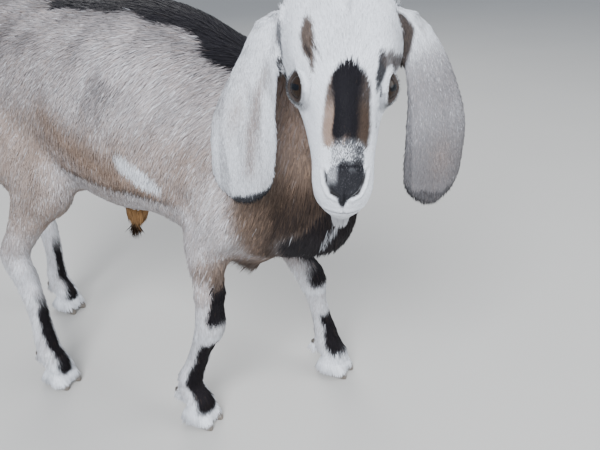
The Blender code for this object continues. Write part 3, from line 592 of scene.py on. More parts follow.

# Lines that the body's markings, and one line of painted shade, follow, in the goat's frame
TAN_BAND = ((-0.085, 0, 0.440), (-0.055, 0, 0.412), (-0.010, 0, 0.384), (0.030, 0, 0.366), (0.075, 0, 0.352))
TAN_BAND_RADII = (0.010, 0.016, 0.018, 0.014, 0.006)
# Painted shade: a darker line down the fold in front of the thigh
FLANK_FOLD_SHADE = ((-0.098, 0, 0.445), (-0.088, 0, 0.405), (-0.084, 0, 0.372))
HIP_SMUDGE = ((-0.135, 0, 0.535), (-0.060, 0, 0.540), (-0.005, 0, 0.530))
SIDE_SMUDGE = ((-0.060, 0, 0.475), (-0.010, 0, 0.488), (0.045, 0, 0.480))
CHEST_STREAK = (
    (0.312, -0.016, 0.362), (0.302, -0.025, 0.338), (0.296, -0.032, 0.325), (0.288, -0.040, 0.311),
    (0.281, -0.041, 0.301),
)
PATCH_ALONG, PATCH_HEIGHT = 0.062, 0.378
THROAT_WAY = (0.75, 0.15, -0.45)

# Bottom and top of the black above and below the knee, on the right and on the left foreleg
UPPER_SHIN = ((0.178, 0.231), (0.166, 0.250))
LOWER_SHIN = ((0.026, 0.146), (0.038, 0.112))


def read_off(table, at):
    """Values from a table of pairs, straight between its rows."""
    places, values = zip(*table)
    return np.interp(at, places, values)


def plain_pigment(count, **shares):
    """The same shares of the pigments at each of some places."""
    return np.tile([shares.get(name, 0.0) for name in PIGMENTS], (count, 1))


def paint(w, points, path, radii, soft, cover, **shares):
    """Covers a broken line with a mix of pigments."""
    mix_pigments(w, cover * stroke(points, path, radii, soft), **shares)


def body_pigment(g, n):
    """Shares of the pigments on the body, from places in the goat's frame."""
    wander = ripple(g, 0.030, 3)
    fine = ripple(g, 0.009, 5)
    w = plain_pigment(len(g), white=0.27, beige=0.48, tan=0.13, brown=0.03, black=0.01, grey=0.08)
    mix_pigments(w, 0.34 * fade(0.1, 0.9, ripple(g, 0.045, 11)), white=0.46, beige=0.49, grey=0.05)
    mix_pigments(w, 0.46 * fade(0.1, 1.0, ripple(g, 0.038, 12)), grey=0.38, beige=0.40, tan=0.10, brown=0.12)
    mix_pigments(w, 0.40 * fade(0.490, 0.540, g[:, 2]), grey=0.48, beige=0.40, brown=0.12)
    mark_flank(w, g, wander, fine)
    mark_side(w, g, fine)
    mark_chest(w, g, n, wander, fine)
    mark_back(w, g, n, wander, fine)
    mark_legs(w, g, fine)
    mark_sheath_and_tail(w, g, n, fine)
    return w


def mark_flank(w, g, wander, fine):
    """The pale underside, the dark line at its edge, the tan low on the flank and the thigh, and painted
    shade down the fold before the thigh.
    """
    x, _, z = g.T
    edge = read_off(BELLY_EDGE, x) + 0.0015 * fine
    low = fade(0.004, -0.006, z - edge) * fade(0.16, 0.10, x)
    mix_pigments(w, low * 0.9, beige=0.50, white=0.32, tan=0.18)
    belly = bell(z - edge, 0.0052) * fade(0.12, 0.05, x) * fade(-0.12, -0.06, x)
    mix_pigments(w, 0.92 * belly, brown=0.66, black=0.34)

    level = np.stack([x, np.zeros(len(g)), z], 1)
    above_edge = fade(-0.002, 0.004, z - edge)
    lower_side = fade(0.475, 0.395, z) * above_edge
    mix_pigments(w, 0.46 * lower_side, tan=0.80, beige=0.20)
    band = stroke(level, TAN_BAND, TAN_BAND_RADII, 0.034) * above_edge
    mix_pigments(w, band * (0.86 + 0.12 * wander), tan=0.78, beige=0.06, brown=0.16)
    thigh = fade(-0.085, -0.130, x) * fade(0.47, 0.41, z) * fade(0.20, 0.26, z)
    mix_pigments(w, 0.86 * thigh, tan=0.62, white=0.18, beige=0.20)
    # Painted shade in the fold in front of the thigh
    paint(w, level, FLANK_FOLD_SHADE, 0.003, 0.012, 0.55, brown=0.55, tan=0.45)


def mark_side(w, g, fine):
    """Dark wisps on the side, darker hair on the rump, two smudges and the white patch."""
    x, y, z = g.T
    level = np.stack([x, np.zeros(len(g)), z], 1)
    slanted = np.stack([0.75 * x - 0.66 * z, y, 0.22 * (0.66 * x + 0.75 * z)], 1)
    wisps = fade(0.00, 0.95, 0.62 * ripple(slanted, 0.0065, 13) + 0.55 * ripple(slanted, 0.0170, 14))
    high = fade(0.40, 0.46, z) * fade(0.20, 0.06, x)
    mix_pigments(w, 0.40 * wisps * high, grey=0.52, brown=0.34, beige=0.14)
    mix_pigments(w, 0.24 * wisps * fade(0.46, 0.40, z), brown=0.45, tan=0.55)
    rump = fade(0.03, -0.10, x) * fade(0.36, 0.43, z)
    mix_pigments(w, 0.26 * rump, grey=0.34, tan=0.30, brown=0.22, beige=0.14)
    hip = stroke(level, HIP_SMUDGE, 0.020, 0.022)
    hip = np.maximum(hip, 0.6 * stroke(level, SIDE_SMUDGE, 0.014, 0.030))
    mix_pigments(w, 0.52 * hip * wisps, grey=0.46, brown=0.40, black=0.14)

    across = (x - PATCH_ALONG) * 0.80 - (z - PATCH_HEIGHT) * 0.60
    up = (x - PATCH_ALONG) * 0.60 + (z - PATCH_HEIGHT) * 0.80
    patch = 1 - np.hypot(across / 0.031, up / 0.0150)
    mix_pigments(w, fade(-0.25, 0.30, patch + 0.22 * fine) * (np.abs(y) > 0.04), white=0.94, beige=0.06)


def mark_chest(w, g, n, wander, fine):
    """The pale shoulder, the brown neck that darkens downwards, and the black chest with its white streak."""
    x, _, z = g.T
    pale = hill(g, (0.175, 0, 0.335), (0.058, 9, 0.075))
    mix_pigments(w, 0.75 * fade(0.25, 0.9, pale), white=0.38, beige=0.45, tan=0.17)
    neck = fade(0.200, 0.250, x + 0.30 * (z - 0.45)) * fade(0.290, 0.335, z)
    mix_pigments(w, neck * 0.96, tan=0.48, beige=0.24, brown=0.28)
    below_top = z - read_off(CHEST_TOP, x) + 0.006 * wander
    dark = fade(0.222, 0.244, x + 0.006 * wander) * fade(0.008, -0.010, below_top)
    mix_pigments(w, dark * 0.97, black=0.90, brown=0.10)
    fore_chest = fade(0.180, 0.206, x + 0.005 * wander) * fade(0.430, 0.360, z)
    mix_pigments(w, fore_chest * 0.92 * (1 - dark), brown=0.64, tan=0.31, black=0.05)
    deep = fade(0.228, 0.258, x + 0.006 * wander) * fade(0.440, 0.350, z)
    mix_pigments(w, deep * 0.92 * (1 - dark), brown=0.78, black=0.20, tan=0.02)
    forward = x - 0.35 * (z - 0.325) + 0.004 * wander
    murky = fade(0.210, 0.240, forward) * fade(0.392, 0.345, z) * (1 - dark)
    mix_pigments(w, 0.90 * murky, brown=0.40, black=0.60)
    under = fade(0.280, 0.256, z) * fade(0.10, 0.15, x) * fade(0.25, 0.22, x) * (1 - dark)
    mix_pigments(w, under * 0.9, brown=0.46, beige=0.14, tan=0.40)
    throat = fade(0.5, 0.9, n @ unit(np.array([THROAT_WAY]))[0]) * fade(0.24, 0.28, x) * (z > 0.33)
    mix_pigments(w, throat, black=0.80, brown=0.20)
    paint(w, g, CHEST_STREAK, 0.0030, 0.0014, 0.80 + 0.20 * fine, white=0.80, grey=0.20)


def mark_back(w, g, n, wander, fine):
    """The black line of the back, from the neck to the tail, with a grey fringe."""
    x, y, z = g.T
    off = np.abs(y - np.where(x > 0.2, read_off(NECK_AXIS, x), 0.0)) - read_off(BACK_HALF_WIDTH, x)
    on_top = fade(0.05, 0.35, n[:, 2])
    fringe = bell(off - 0.004, 0.010) * on_top * (z > 0.44)
    mix_pigments(w, 0.42 * fringe, grey=0.60, brown=0.40)
    stripe = fade(0.0045, -0.0045, off + 0.006 * fine + 0.004 * wander) * on_top * (z > 0.44)
    mix_pigments(w, stripe * 0.98, black=0.97, brown=0.03)


def span(z, marks, left, soft):
    """1 between the bottom and the top of a mark, which differ on the right and the left leg."""
    (right_low, right_high), (left_low, left_high) = marks
    top = fade(soft, -0.006, z - np.where(left, left_high, right_high))
    return top * fade(-0.006, 0.006, z - np.where(left, left_low, right_low))


def mark_legs(w, g, fine):
    """Pale legs with black down the front, which the white knee parts."""
    x, y, z = g.T
    front, across, gap = leg_place(g + np.array(GOAT_SHIFT), LEG_LINES)
    shank = fade(0.270, 0.215, z)
    mix_pigments(w, shank * fade(0.050, 0.036, gap) * 0.8, white=0.30, beige=0.48, tan=0.22)
    mix_pigments(w, shank * fade(0.222, 0.176, z) * 0.85, white=0.70, beige=0.26, tan=0.04)
    mix_pigments(w, fade(0.050, 0.038, z) * 0.94, white=0.95, beige=0.05)

    fore = x > 0.02
    left = y > 0.02
    facing = 0.84 * front + 0.40 * across + 0.15 * fine
    wide = fade(-0.25, 0.15, np.where(left, facing - 0.20, facing)) * fade(1.15, 0.95, np.abs(across))
    mix_pigments(w, wide * (span(z, UPPER_SHIN, left, 0.006) * fore), black=0.92, brown=0.08)

    bound = np.where(left, 0.30, np.interp(z, [0.062, 0.090], [0.26, -0.04]))
    frontal = fade(-0.16, 0.16, 0.84 * front + 0.10 * across + 0.15 * fine - bound) * fade(0.75, 0.45, across)
    lower = span(z, LOWER_SHIN, left, 0.004) * fore
    ahead = fade(0.05, 0.45, facing) * fade(1.1, 0.9, np.abs(across))
    narrow = fade(0.75, 0.45, np.abs(across + 0.1))
    hind = fade(0.160, 0.122, z + 0.008 * fine) * fade(0.016, 0.030, z) * ~fore
    mix_pigments(w, frontal * lower + ahead * narrow * hind, black=0.90, brown=0.10)
    above = ahead * fade(0.262, 0.245, z) * fade(0.222, 0.232, z) * fore
    mix_pigments(w, 0.7 * above, brown=0.7, tan=0.3)
    knee = fade(0.148, 0.152, z) * fade(0.166, 0.158, z) * fore
    mix_pigments(w, knee * 0.8, white=0.9, beige=0.1)


def mark_sheath_and_tail(w, g, n, fine):
    """The ochre tuft of the sheath with its dark tip, and the black top of the tail."""
    x, _, z = g.T
    tuft = fade(0.290, 0.280, z) * hill(g, (-0.048, 0, 0.262), (0.040, 0.035, 0.060))
    mix_pigments(w, fade(0.2, 0.5, tuft), ochre=0.90, brown=0.10)
    tip = fade(0.2, 0.4, tuft) * fade(0.258, 0.242, z + 0.004 * fine)
    mix_pigments(w, 0.8 * tip, brown=0.55, black=0.45)
    crest = fade(-0.300, -0.318, x) * (z > 0.50) * fade(-0.2, 0.3, n[:, 2] + n[:, 0])
    mix_pigments(w, crest, black=0.85, brown=0.15)


# Edges of the blaze, of its black middle and of the nose: places along the head and out to its side
BLAZE_RIGHT = (
    (0.094, -0.0120), (0.106, -0.0170), (0.123, -0.0205),
    (0.140, -0.0207), (0.153, -0.0200), (0.159, -0.0150),
)
BLAZE_LEFT = ((0.093, 0.0150), (0.104, 0.0210), (0.122, 0.0231), (0.139, 0.0221), (0.158, 0.0190))
BLACK_RIGHT = (
    (0.0800, 0.0030), (0.0832, -0.0035), (0.0935, -0.0122), (0.1080, -0.0122),
    (0.1260, -0.0125), (0.1430, -0.0122), (0.1585, -0.0110),
)
BLACK_LEFT = (
    (0.0785, 0.0075), (0.0850, 0.0105), (0.0925, 0.0150), (0.1080, 0.0120),
    (0.1260, 0.0108), (0.1430, 0.0112), (0.1585, 0.0105),
)
NOSE_RIGHT = (
    (0.167, -0.0080), (0.171, -0.0125), (0.178, -0.0172), (0.187, -0.0168),
    (0.193, -0.0130), (0.197, -0.0085), (0.2015, -0.0052), (0.2045, -0.0032),
)
NOSE_LEFT = (
    (0.167, 0.0120), (0.171, 0.0160), (0.178, 0.0178), (0.185, 0.0168),
    (0.1915, 0.0128), (0.197, 0.0068), (0.2015, 0.0018), (0.2045, -0.0008),
)
BLAZE_MIDDLE = -0.0015

# Lines of dark hair in the head's frame, and of painted shade at the ears' roots
RIGHT_BROW = (
    (0.0350, -0.0352, 0.0336), (0.0440, -0.0340, 0.0360), (0.0575, -0.0341, 0.0385),
    (0.0695, -0.0333, 0.0392), (0.0776, -0.0302, 0.0399), (0.0880, -0.0296, 0.0375),
)
RIGHT_BROW_RADII = (0.0034, 0.0068, 0.0072, 0.0054, 0.0040, 0.0014)
BROW_LEAN = ((0.060, -0.0370, 0.0375), (0.0740, -0.0325, 0.0395))
BROW_SPUR = ((0.0600, -0.0315, 0.0405), (0.0716, -0.0259, 0.0432), (0.0811, -0.0208, 0.0451))
LEFT_BROW = (
    (0.0735, 0.0326, 0.0390), (0.0845, 0.0330, 0.0352), (0.0930, 0.0305, 0.0346), (0.1050, 0.0278, 0.0322),
)
LEFT_BROW_RADII = (0.0046, 0.0066, 0.0056, 0.0022)
LEFT_BROW_TINES = (
    ((0.0640, 0.0306, 0.0410), (0.0760, 0.0318, 0.0395)),
    ((0.0650, 0.0356, 0.0380), (0.0760, 0.0334, 0.0385)),
)
SMUDGE = (
    (0.0765, 0.0380, 0.0345), (0.0719, 0.0421, 0.0316), (0.0702, 0.0474, 0.0225), (0.0627, 0.0548, 0.0034),
)
TEAR_LINE = ((0.1000, 0.0322, 0.0300), (0.1065, 0.0324, 0.0252))
CHEEK_SPOT = ((0.1300, 0.0300, 0.0160), (0.1325, 0.0295, 0.0150))
FOREHEAD_LINE = ((-0.010, 0.006, 0.030), (0.030, 0.005, 0.040))
# Painted shade at the ears' roots: a line along each root, and a spot between the right ear and the eye
LEFT_EAR_ROOT = (
    (0.0120, 0.0530, 0.0100), (0.0180, 0.0571, 0.0077), (0.0311, 0.0650, 0.0048), (0.0461, 0.0630, -0.0026),
    (0.062, 0.0590, -0.014),
)
LEFT_EAR_ROOT_RADII = (0.0026, 0.0046, 0.0062, 0.0052, 0.0044)
RIGHT_EAR_ROOT = ((0.0241, -0.0601, 0.0105), (0.0425, -0.0601, 0.0061), (0.0560, -0.0563, 0.0064))
RIGHT_EAR_ROOT_RADII = (0.0018, 0.0026, 0.0030)
RIGHT_EAR_ROOT_SHADOW = ((0.0593, -0.0579, -0.0014), (0.0668, -0.0530, -0.0161))


def head_pigment(h):
    """Shares of the pigments on the head, from places in the head's frame."""
    x, y, z = h.T
    fine = ripple(h, 0.0030, 21)
    mottle = ripple(h, 0.012, 22)
    w = plain_pigment(len(h), white=0.96, beige=0.03, grey=0.01)
    mix_pigments(w, 0.14 * fade(0.2, 0.9, mottle) * fade(0.10, 0.06, x), grey=0.7, beige=0.3)
    mix_pigments(w, 0.35 * fade(-0.020, -0.050, z) * fade(0.13, 0.06, x), beige=0.6, tan=0.4)
    mix_pigments(w, 0.13 * fade(0.090, 0.050, x), grey=0.9, beige=0.1)
    mark_blaze(w, h, fine, mottle)
    mark_nose(w, h, fine)
    mark_brows(w, h, fine)
    mark_lids_and_eye_shade(w, h, fine)
    crown = fade(0.0, -0.016, x) * fade(0.018, 0.010, np.abs(y)) * (z > -0.04)
    mix_pigments(w, crown, black=0.85, brown=0.15)
    # Painted shade at the ears' roots
    shade_ear_roots(w, h)
    return w


def mark_blaze(w, h, fine, mottle):
    """The blaze: peach on its right and olive on its left, dark above, with a black spiked middle."""
    x, y, z = h.T
    top = z > 0.0
    inside = np.minimum(y - read_off(BLAZE_RIGHT, x), read_off(BLAZE_LEFT, x) - y) + 0.0010 * fine
    flank = fade(-0.0030, 0.0030, inside) * fade(0.090, 0.097, x) * fade(0.162, 0.154, x) * top
    mix_pigments(w, flank * (y < BLAZE_MIDDLE), tan=0.64, beige=0.30, brown=0.06)
    mix_pigments(w, flank * (y >= BLAZE_MIDDLE), brown=0.66, tan=0.06, black=0.28)
    dim = flank * fade(0.128, 0.112, x + 0.002 * mottle + 0.0015 * fine)
    mix_pigments(w, 0.80 * dim, brown=0.42, black=0.38, grey=0.20)

    within = np.minimum(y - read_off(BLACK_RIGHT, x), read_off(BLACK_LEFT, x) - y) + 0.0012 * fine
    spikes = (0.0035 * np.sin(y * 1300 + 2.4) + 0.0022 * np.sin(y * 3100)) * fade(0.105, 0.085, x)
    soft = 0.0018 + 0.0028 * (y > 0)
    ends = fade(0.0820, 0.0862, x + spikes) * fade(0.1620, 0.1500, x + 0.004 * fine)
    blaze = fade(0, 1, 0.5 + within / (2 * soft)) * ends * top
    mix_pigments(w, blaze, black=0.96, brown=0.04)


def mark_nose(w, h, fine):
    """Speckles over the nose, and the dark nose itself: a shield with a painted sheen, a paler grey patch, by
    the right nostril.
    """
    x, y, z = h.T
    over_nose = fade(-0.0160, -0.0120, y) * fade(0.0185, 0.0150, y) * (z > 0.0)
    speckle = fade(0.149, 0.159, x) * fade(0.178, 0.168, x) * over_nose
    mix_pigments(w, speckle * 0.88, white=0.38, grey=0.36, black=0.26)
    to_left = fade(-0.006, 0.007, y + 0.004 * fine)
    mix_pigments(w, speckle * to_left * 0.90, grey=0.24, black=0.64, white=0.12)

    deep = np.minimum(y - read_off(NOSE_RIGHT, x), read_off(NOSE_LEFT, x) - y) + 0.0006 * fine
    ends = fade(0.1640, 0.1730, x + 0.003 * fine) * fade(0.2060, 0.2030, x)
    shield = fade(-0.0012, 0.0012, deep) * ends * (z > -0.006)
    mix_pigments(w, shield, grey=0.12, black=0.88)
    # Painted sheen: a paler grey patch on the shield by the right nostril, standing in for its highlight
    paler = shield * fade(-0.0050, -0.0110, y + 0.001 * fine) * fade(0.1900, 0.1810, x)
    mix_pigments(w, 0.72 * paler, white=0.38, grey=0.62)
    flecks = shield * fade(0.3, 0.9, ripple(h, 0.0022, 23)) * fade(0.180, 0.170, x)
    mix_pigments(w, 0.45 * flecks, white=0.5, grey=0.5)


def mark_brows(w, h, fine):
    """The brow patches, the smudge behind the left one, and the small dark lines of the face."""
    rough = h + 0.0007 * fine[:, None] * np.array((0.0, 1.0, 0.0))
    paint(w, rough, RIGHT_BROW, RIGHT_BROW_RADII, 0.0026, 0.95, brown=0.72, black=0.20, tan=0.08)
    paint(w, rough, BROW_LEAN, (0.0010, 0.0016), 0.0010, 0.8, black=0.85, brown=0.15)
    paint(w, h, BROW_SPUR, (0.0020, 0.0015, 0.0007), 0.0007, 1.0, brown=0.7, black=0.3)
    paint(w, rough, LEFT_BROW, LEFT_BROW_RADII, 0.0014, 0.97, grey=0.14, black=0.84, brown=0.02)
    for tine in LEFT_BROW_TINES:
        paint(w, h, tine, (0.0009, 0.0024), 0.0008, 0.95, grey=0.40, black=0.50, brown=0.10)
    paint(w, h, SMUDGE, 0.0070, 0.0036, 0.88, grey=0.20, brown=0.50, black=0.30)
    paint(w, h, TEAR_LINE, (0.0012, 0.0020), 0.0007, 0.90, black=0.9, grey=0.1)
    paint(w, h, CHEEK_SPOT, 0.0010, 0.0012, 0.85, black=0.7, grey=0.3)
    paint(w, h, FOREHEAD_LINE, 0.0018, 0.0030, 0.40, grey=0.9, beige=0.1)


def mark_lids_and_eye_shade(w, h, fine):
    """Dark hair along the rims of the lids: a narrow dark rim above the eye, and under and behind it a wider
    band of painted shade.
    """
    past, above = lid_reach(mirrored(h))
    # Painted shade: the wide dark band under and behind the eye
    lower = fade(0.0085, 0.0040, past + 0.0006 * fine) * ~above
    mix_pigments(w, 0.90 * lower, brown=0.48, grey=0.22, black=0.30)
    # The narrow dark rim of the upper lid
    upper = fade(0.0040, 0.0026, past) * above
    mix_pigments(w, 0.80 * upper, brown=0.40, grey=0.30, black=0.30)


def shade_ear_roots(w, h):
    """Painted shade where the ears leave the head: dark edges along the ears' roots, and a dark spot between
    the right ear and the eye.
    """
    paint(w, h, LEFT_EAR_ROOT, LEFT_EAR_ROOT_RADII, 0.0022, 0.96, brown=0.50, black=0.48, grey=0.02)
    paint(w, h, RIGHT_EAR_ROOT, RIGHT_EAR_ROOT_RADII, 0.0014, 0.85, black=0.7, grey=0.3)
    paint(w, h, RIGHT_EAR_ROOT_SHADOW, (0.0044, 0.0060), 0.0020, 0.92, black=0.85, brown=0.15)


def ear_pigment(p):
    """Shares of the pigments on the ears: the right one whiter, with painted shade down its crease and a tan
    patch of painted shade, the left one greyer.
    """
    up, across, tip, side = ear_place(p)
    streak = ripple(p * np.array((1, 1, 0.16)), 0.0035, 31)
    broad = ripple(p * np.array((1, 1, 0.45)), 0.012, 32)
    w = plain_pigment(len(p), white=0.86, beige=0.06, grey=0.08)
    mix_pigments(w, 0.50 * fade(0.0, 1.0, streak), grey=0.64, white=0.18, beige=0.18)
    mix_pigments(w, 0.36 * fade(0.1, 0.9, broad), grey=0.5, beige=0.5)
    mix_pigments(w, 0.26 * fade(-0.03, -0.12, up), grey=0.85, white=0.15)
    right = side < 0
    greyer = ~right * (0.80 + 0.16 * fade(-0.03, -0.12, up)) * fade(0.045, -0.02, up)
    mix_pigments(w, greyer, grey=0.72, beige=0.27, brown=0.01)
    # Painted shade: darker tan and grey down the groove of the right ear's crease
    crease = bell(across + 0.12 + 0.04 * streak, 0.21)
    crease = crease * fade(0.02, -0.02, up) * fade(-0.115, -0.085, up)
    mix_pigments(w, 0.74 * crease * right, beige=0.40, tan=0.26, brown=0.12, grey=0.22)
    # A tan patch of painted shade on the right ear's outer half
    right_ear_shade_patch = hill(np.stack([across, up], 1), (0.45, -0.036), (0.28, 0.024))
    mix_pigments(w, 0.50 * right_ear_shade_patch * right, tan=0.50, beige=0.50)
    olive = hill(np.stack([across, up], 1), (0.05, -0.100), (0.45, 0.024))
    mix_pigments(w, 0.62 * olive * ~right, beige=0.55, tan=0.25, brown=0.20)
    mix_pigments(w, 0.34 * ~right * fade(-0.05, -0.11, up), grey=0.70, brown=0.30)

    rounding = 0.010 * (1 - across**2) - 0.010
    low = up - tip + rounding + 0.0018 * streak + 0.007 * across * right
    rim = fade(0.0075 + 0.0035 * right, 0.0040 + 0.0030 * right, low)
    mix_pigments(w, rim * np.where(right, 0.95, 0.50), black=0.90, grey=0.10)
    below = np.where(right, fade(-0.070, -0.095, up), fade(-0.015, -0.035, up))
    inner = fade(-0.84, -0.93, across) * below
    mix_pigments(w, inner * np.where(right, 0.85, 0.45), black=0.75, grey=0.25)
    # Painted shade at the ears' roots
    shade_ear_roots(w, to_local(HEAD, p))
    return w


def blend(first, second, mask):
    """Directions or colours that give way to others under a mask."""
    mask = mask[:, None]
    return first * (1 - mask) + np.array(second) * mask


def lie_of_body(g, n):
    """The lie of the body's hair, as directions in the goat's frame."""
    x, y, z = g.T
    side = np.sign(y)
    lie = np.stack([-np.ones(len(g)), 0.10 * side, -0.42 * fade(0.95, 0.3, n[:, 2]) - 0.05], 1)
    turns = (
        (fade(0.555, 0.500, z), (-0.75, 0, -0.85)),
        (fade(0.480, 0.400, z), (-0.42, 0, -1.0)),
        (fade(-0.12, -0.24, x) * fade(0.50, 0.40, z), (-0.45, 0, -1.0)),
        (fade(0.10, 0.20, x) * fade(0.48, 0.36, z), (-0.50, 0, -1.0)),
        (fade(0.19, 0.26, x) * fade(0.30, 0.38, z), (-0.30, 0.10, -1.0)),
        (fade(0.24, 0.29, x) * fade(0.40, 0.36, z), (-0.15, 0, -1.0)),
        (fade(0.280, 0.235, z), (-0.12, 0, -1.0)),
        (fade(-0.55, -0.85, n[:, 2]) * fade(0.24, 0.27, z), (-1.0, 0, -0.15)),
    )
    for mask, direction in turns:
        lie = blend(lie, direction, mask)
    wobble = np.stack([ripple(g, 0.050, 41), ripple(g, 0.050, 42), ripple(g, 0.050, 43)], 1)
    lie = unit(lie) + 0.13 * wobble
    lie = blend(lie, (0.22, 0, -1.0), fade(0.060, 0.045, z))

    tail = fade(-0.285, -0.305, x) * fade(0.50, 0.515, z)
    core = np.array([row[:3] for row in TAIL_CORE])
    ways = unit(np.gradient(core, axis=0))
    near = np.argmin(((g[:, None, :] - core) ** 2).sum(2), 1)
    way = ways[near] + np.stack([np.zeros(len(g)), 0.45 * np.clip(y / 0.012, -1, 1), np.zeros(len(g))], 1)
    lie = blend(lie, way, tail)
    sheath = hill(g, (-0.045, 0, 0.275), (0.030, 0.028, 0.028)) > 0.35
    lie[sheath & (z < 0.298)] = (-0.28, 0, -1.0)
    return lie


def lie_of_head(h):
    """The lie of the head's hair in its own frame: up the face, and round the eyes and nostrils."""
    x, y, z = h.T
    count = len(h)
    side = np.sign(y)
    outwards = 0.25 * side * fade(0.0, 0.02, np.abs(y))
    way = np.stack([-np.ones(count), outwards, -0.35 * fade(0.02, -0.03, z)], 1)
    way += 0.08 * np.stack([ripple(h, 0.02, 51), ripple(h, 0.02, 52), ripple(h, 0.02, 53)], 1)
    q = mirrored(h)
    away = unit(q - np.array(EYE_PLACE))
    past = lid_reach(q)[0]
    away[:, 1] *= side
    way = blend(way, away, 0.95 * fade(0.018, 0.006, past))
    under = fade(0.000, -0.012, mouth_place(q)[0]) * fade(0.150, 0.170, x)
    way = blend(way, (-0.4, 0, -1.0), under)
    return blend(way, (0.62, 0, -0.78), chin_place(h))


def chin_place(h):
    """1 where the longer hair under the chin grows, in the head's frame."""
    x, y, z = h.T
    return fade(0.170, 0.182, x) * fade(-0.026, -0.034, z) * fade(0.016, 0.008, np.abs(y))


def pigments_at(points, n, part):
    """Shares of the pigments at each place of the skin or the coat."""
    made = np.zeros((len(points), len(PIGMENTS)))
    body, head, ear = part == ON_BODY, part == ON_HEAD, part == ON_EAR
    made[body] = body_pigment(to_goat(points[body]), n[body])
    made[head] = head_pigment(to_local(HEAD, points[head]))
    made[ear] = ear_pigment(points[ear])
    return made


def hair_of_body(points, n):
    """The body's hair: lie, length, lift and tufts for each square metre."""
    g = to_goat(points)
    x, y, z = g.T
    back = fade(0.048, 0.030, np.abs(y)) * fade(0.6, 0.9, n[:, 2])
    length = BODY_HAIR + 0.007 * back + 0.006 * fade(0.16, 0.26, x) * fade(0.50, 0.40, z)
    density = np.full(len(g), BODY_TUFTS)
    lift = np.full(len(g), BODY_LIFT)

    # Longer and denser on the throat, long between the forelegs, and short under the breast
    throat = bell(stub_reach(points) - 0.010, 0.022)
    throat = throat * fade(0.22, 0.25, x) * fade(0.40, 0.43, z)
    length += 0.006 * throat
    density += 0.16e6 * throat
    brisket = fade(0.290, 0.255, z) * fade(0.08, 0.13, x) * fade(0.240, 0.252, z)
    breast = fade(0.305, 0.280, z) * fade(0.19, 0.22, x) * (z > 0.240)
    length += 0.013 * brisket * fade(0.210, 0.175, x) - 0.005 * breast

    # Short and dense down the legs, and a little longer over the feet
    down = fade(0.290, 0.160, z) * (1 - brisket)
    length = length * (1 - down) + LEG_HAIR * down
    length += 0.0050 * fade(0.075, 0.050, z)
    length = np.where(z < 0.060, np.minimum(length, 0.78 * z), length)
    density += 0.26e6 * fade(0.290, 0.180, z) + 0.40e6 * fade(0.070, 0.050, z)
    lift += 0.09 * fade(0.25, 0.20, z) - 0.04 * fade(0.070, 0.050, z)

    # Locks of the tail and the sheath
    tail = (x < -0.300) & (z > 0.505)
    length[tail] = TAIL_HAIR - 0.25 * np.maximum(0, z[tail] - 0.555)
    density[tail] = TAIL_TUFTS
    lift[tail] = TAIL_LIFT
    sheath = (z < 0.290) & (hill(g, (-0.045, 0, 0.272), (0.035, 0.035, 0.060)) > 0.3)
    length[sheath] = SHEATH_HAIR
    density[sheath] = SHEATH_TUFTS
    return lie_of_body(g, n), length, lift, density


def hair_of_head(points, _):
    """The head's hair: shortest on the muzzle and round the eyes, longer under the chin."""
    h = to_local(HEAD, points)
    x = h[:, 0]
    snout = fade(0.06, 0.17, x)
    length = FACE_HAIR - 0.0052 * snout + 0.003 * fade(0.0, -0.03, x)
    length = length * (0.30 + 0.70 * fade(0.003, 0.017, lid_reach(mirrored(h))[0]))
    length = length - 0.0016 * fade(0.140, 0.152, x) + 0.0085 * chin_place(h)
    lie = lie_of_head(h) @ np.array(HEAD)[:3, :3].T
    return lie, length, np.full(len(h), HEAD_LIFT), HEAD_TUFTS + HEAD_TUFTS * snout


def hair_of_ears(points, _):
    """The ears' hair: very short, and straight down."""
    count = len(points)
    wobble = np.stack([ripple(points, 0.02, 61), ripple(points, 0.02, 62), np.zeros(count)], 1)
    lie = np.array((0.0, 0.0, -1.0)) + 0.10 * wobble
    return lie, np.full(count, EAR_HAIR), np.full(count, EAR_LIFT), np.full(count, EAR_TUFTS)


def coat_at(points, n, part):
    """What grows at each place: lie, length, lift and how many for each square metre."""
    count = len(points)
    lie, length, lift, density = np.zeros((count, 3)), np.zeros(count), np.zeros(count), np.zeros(count)
    for number, hair in ((ON_BODY, hair_of_body), (ON_HEAD, hair_of_head), (ON_EAR, hair_of_ears)):
        at = part == number
        lie[at], length[at], lift[at], density[at] = hair(points[at], n[at])
    return unit(lie), length, lift, density


def skin_depth(g):
    """How far the body's skin lies inside the coat's outline."""
    x, _, z = g.T
    depth = read_off(SKIN_DEPTHS, z)
    depth = depth + 0.0030 * fade(0.275, 0.248, z) * fade(0.08, 0.13, x) * fade(0.225, 0.240, z)
    bare = fade(-0.296, -0.306, x) * (z > 0.505)
    bare = np.maximum(bare, (hill(g, (-0.046, 0, 0.270), (0.030, 0.030, 0.030)) > 0.4) & (z < 0.292))
    return depth * (1 - bare)


def under_chest(g):
    """1 low on the chest between the forelegs, where the breast bone rises to the front."""
    x, y, z = g.T
    between = fade(0.170, 0.215, x) * fade(0.072, 0.056, np.abs(y))
    return fade(0.312, 0.262, z) * fade(0.200, 0.235, z) * between


def sink_body(body):
    """Moves the body's shell under the coat, and gives where no hair grows on it."""
    co, n = coords(body.data), normals(body.data)
    g = to_goat(co)
    inside = fade(0.014, 0.030, stub_reach(co)) * fade(0.23, 0.26, g[:, 0])
    depth = skin_depth(g) + HIDDEN_DEPTH * inside
    moved = co - n * depth[:, None]
    moved[:, 2] += BREAST_RISE * under_chest(g)
    set_coords(body.data, moved)
    return (inside > 0.5) | ((g[:, 2] < HAIR_BOTTOM + 0.004) & (n[:, 2] < -0.6))


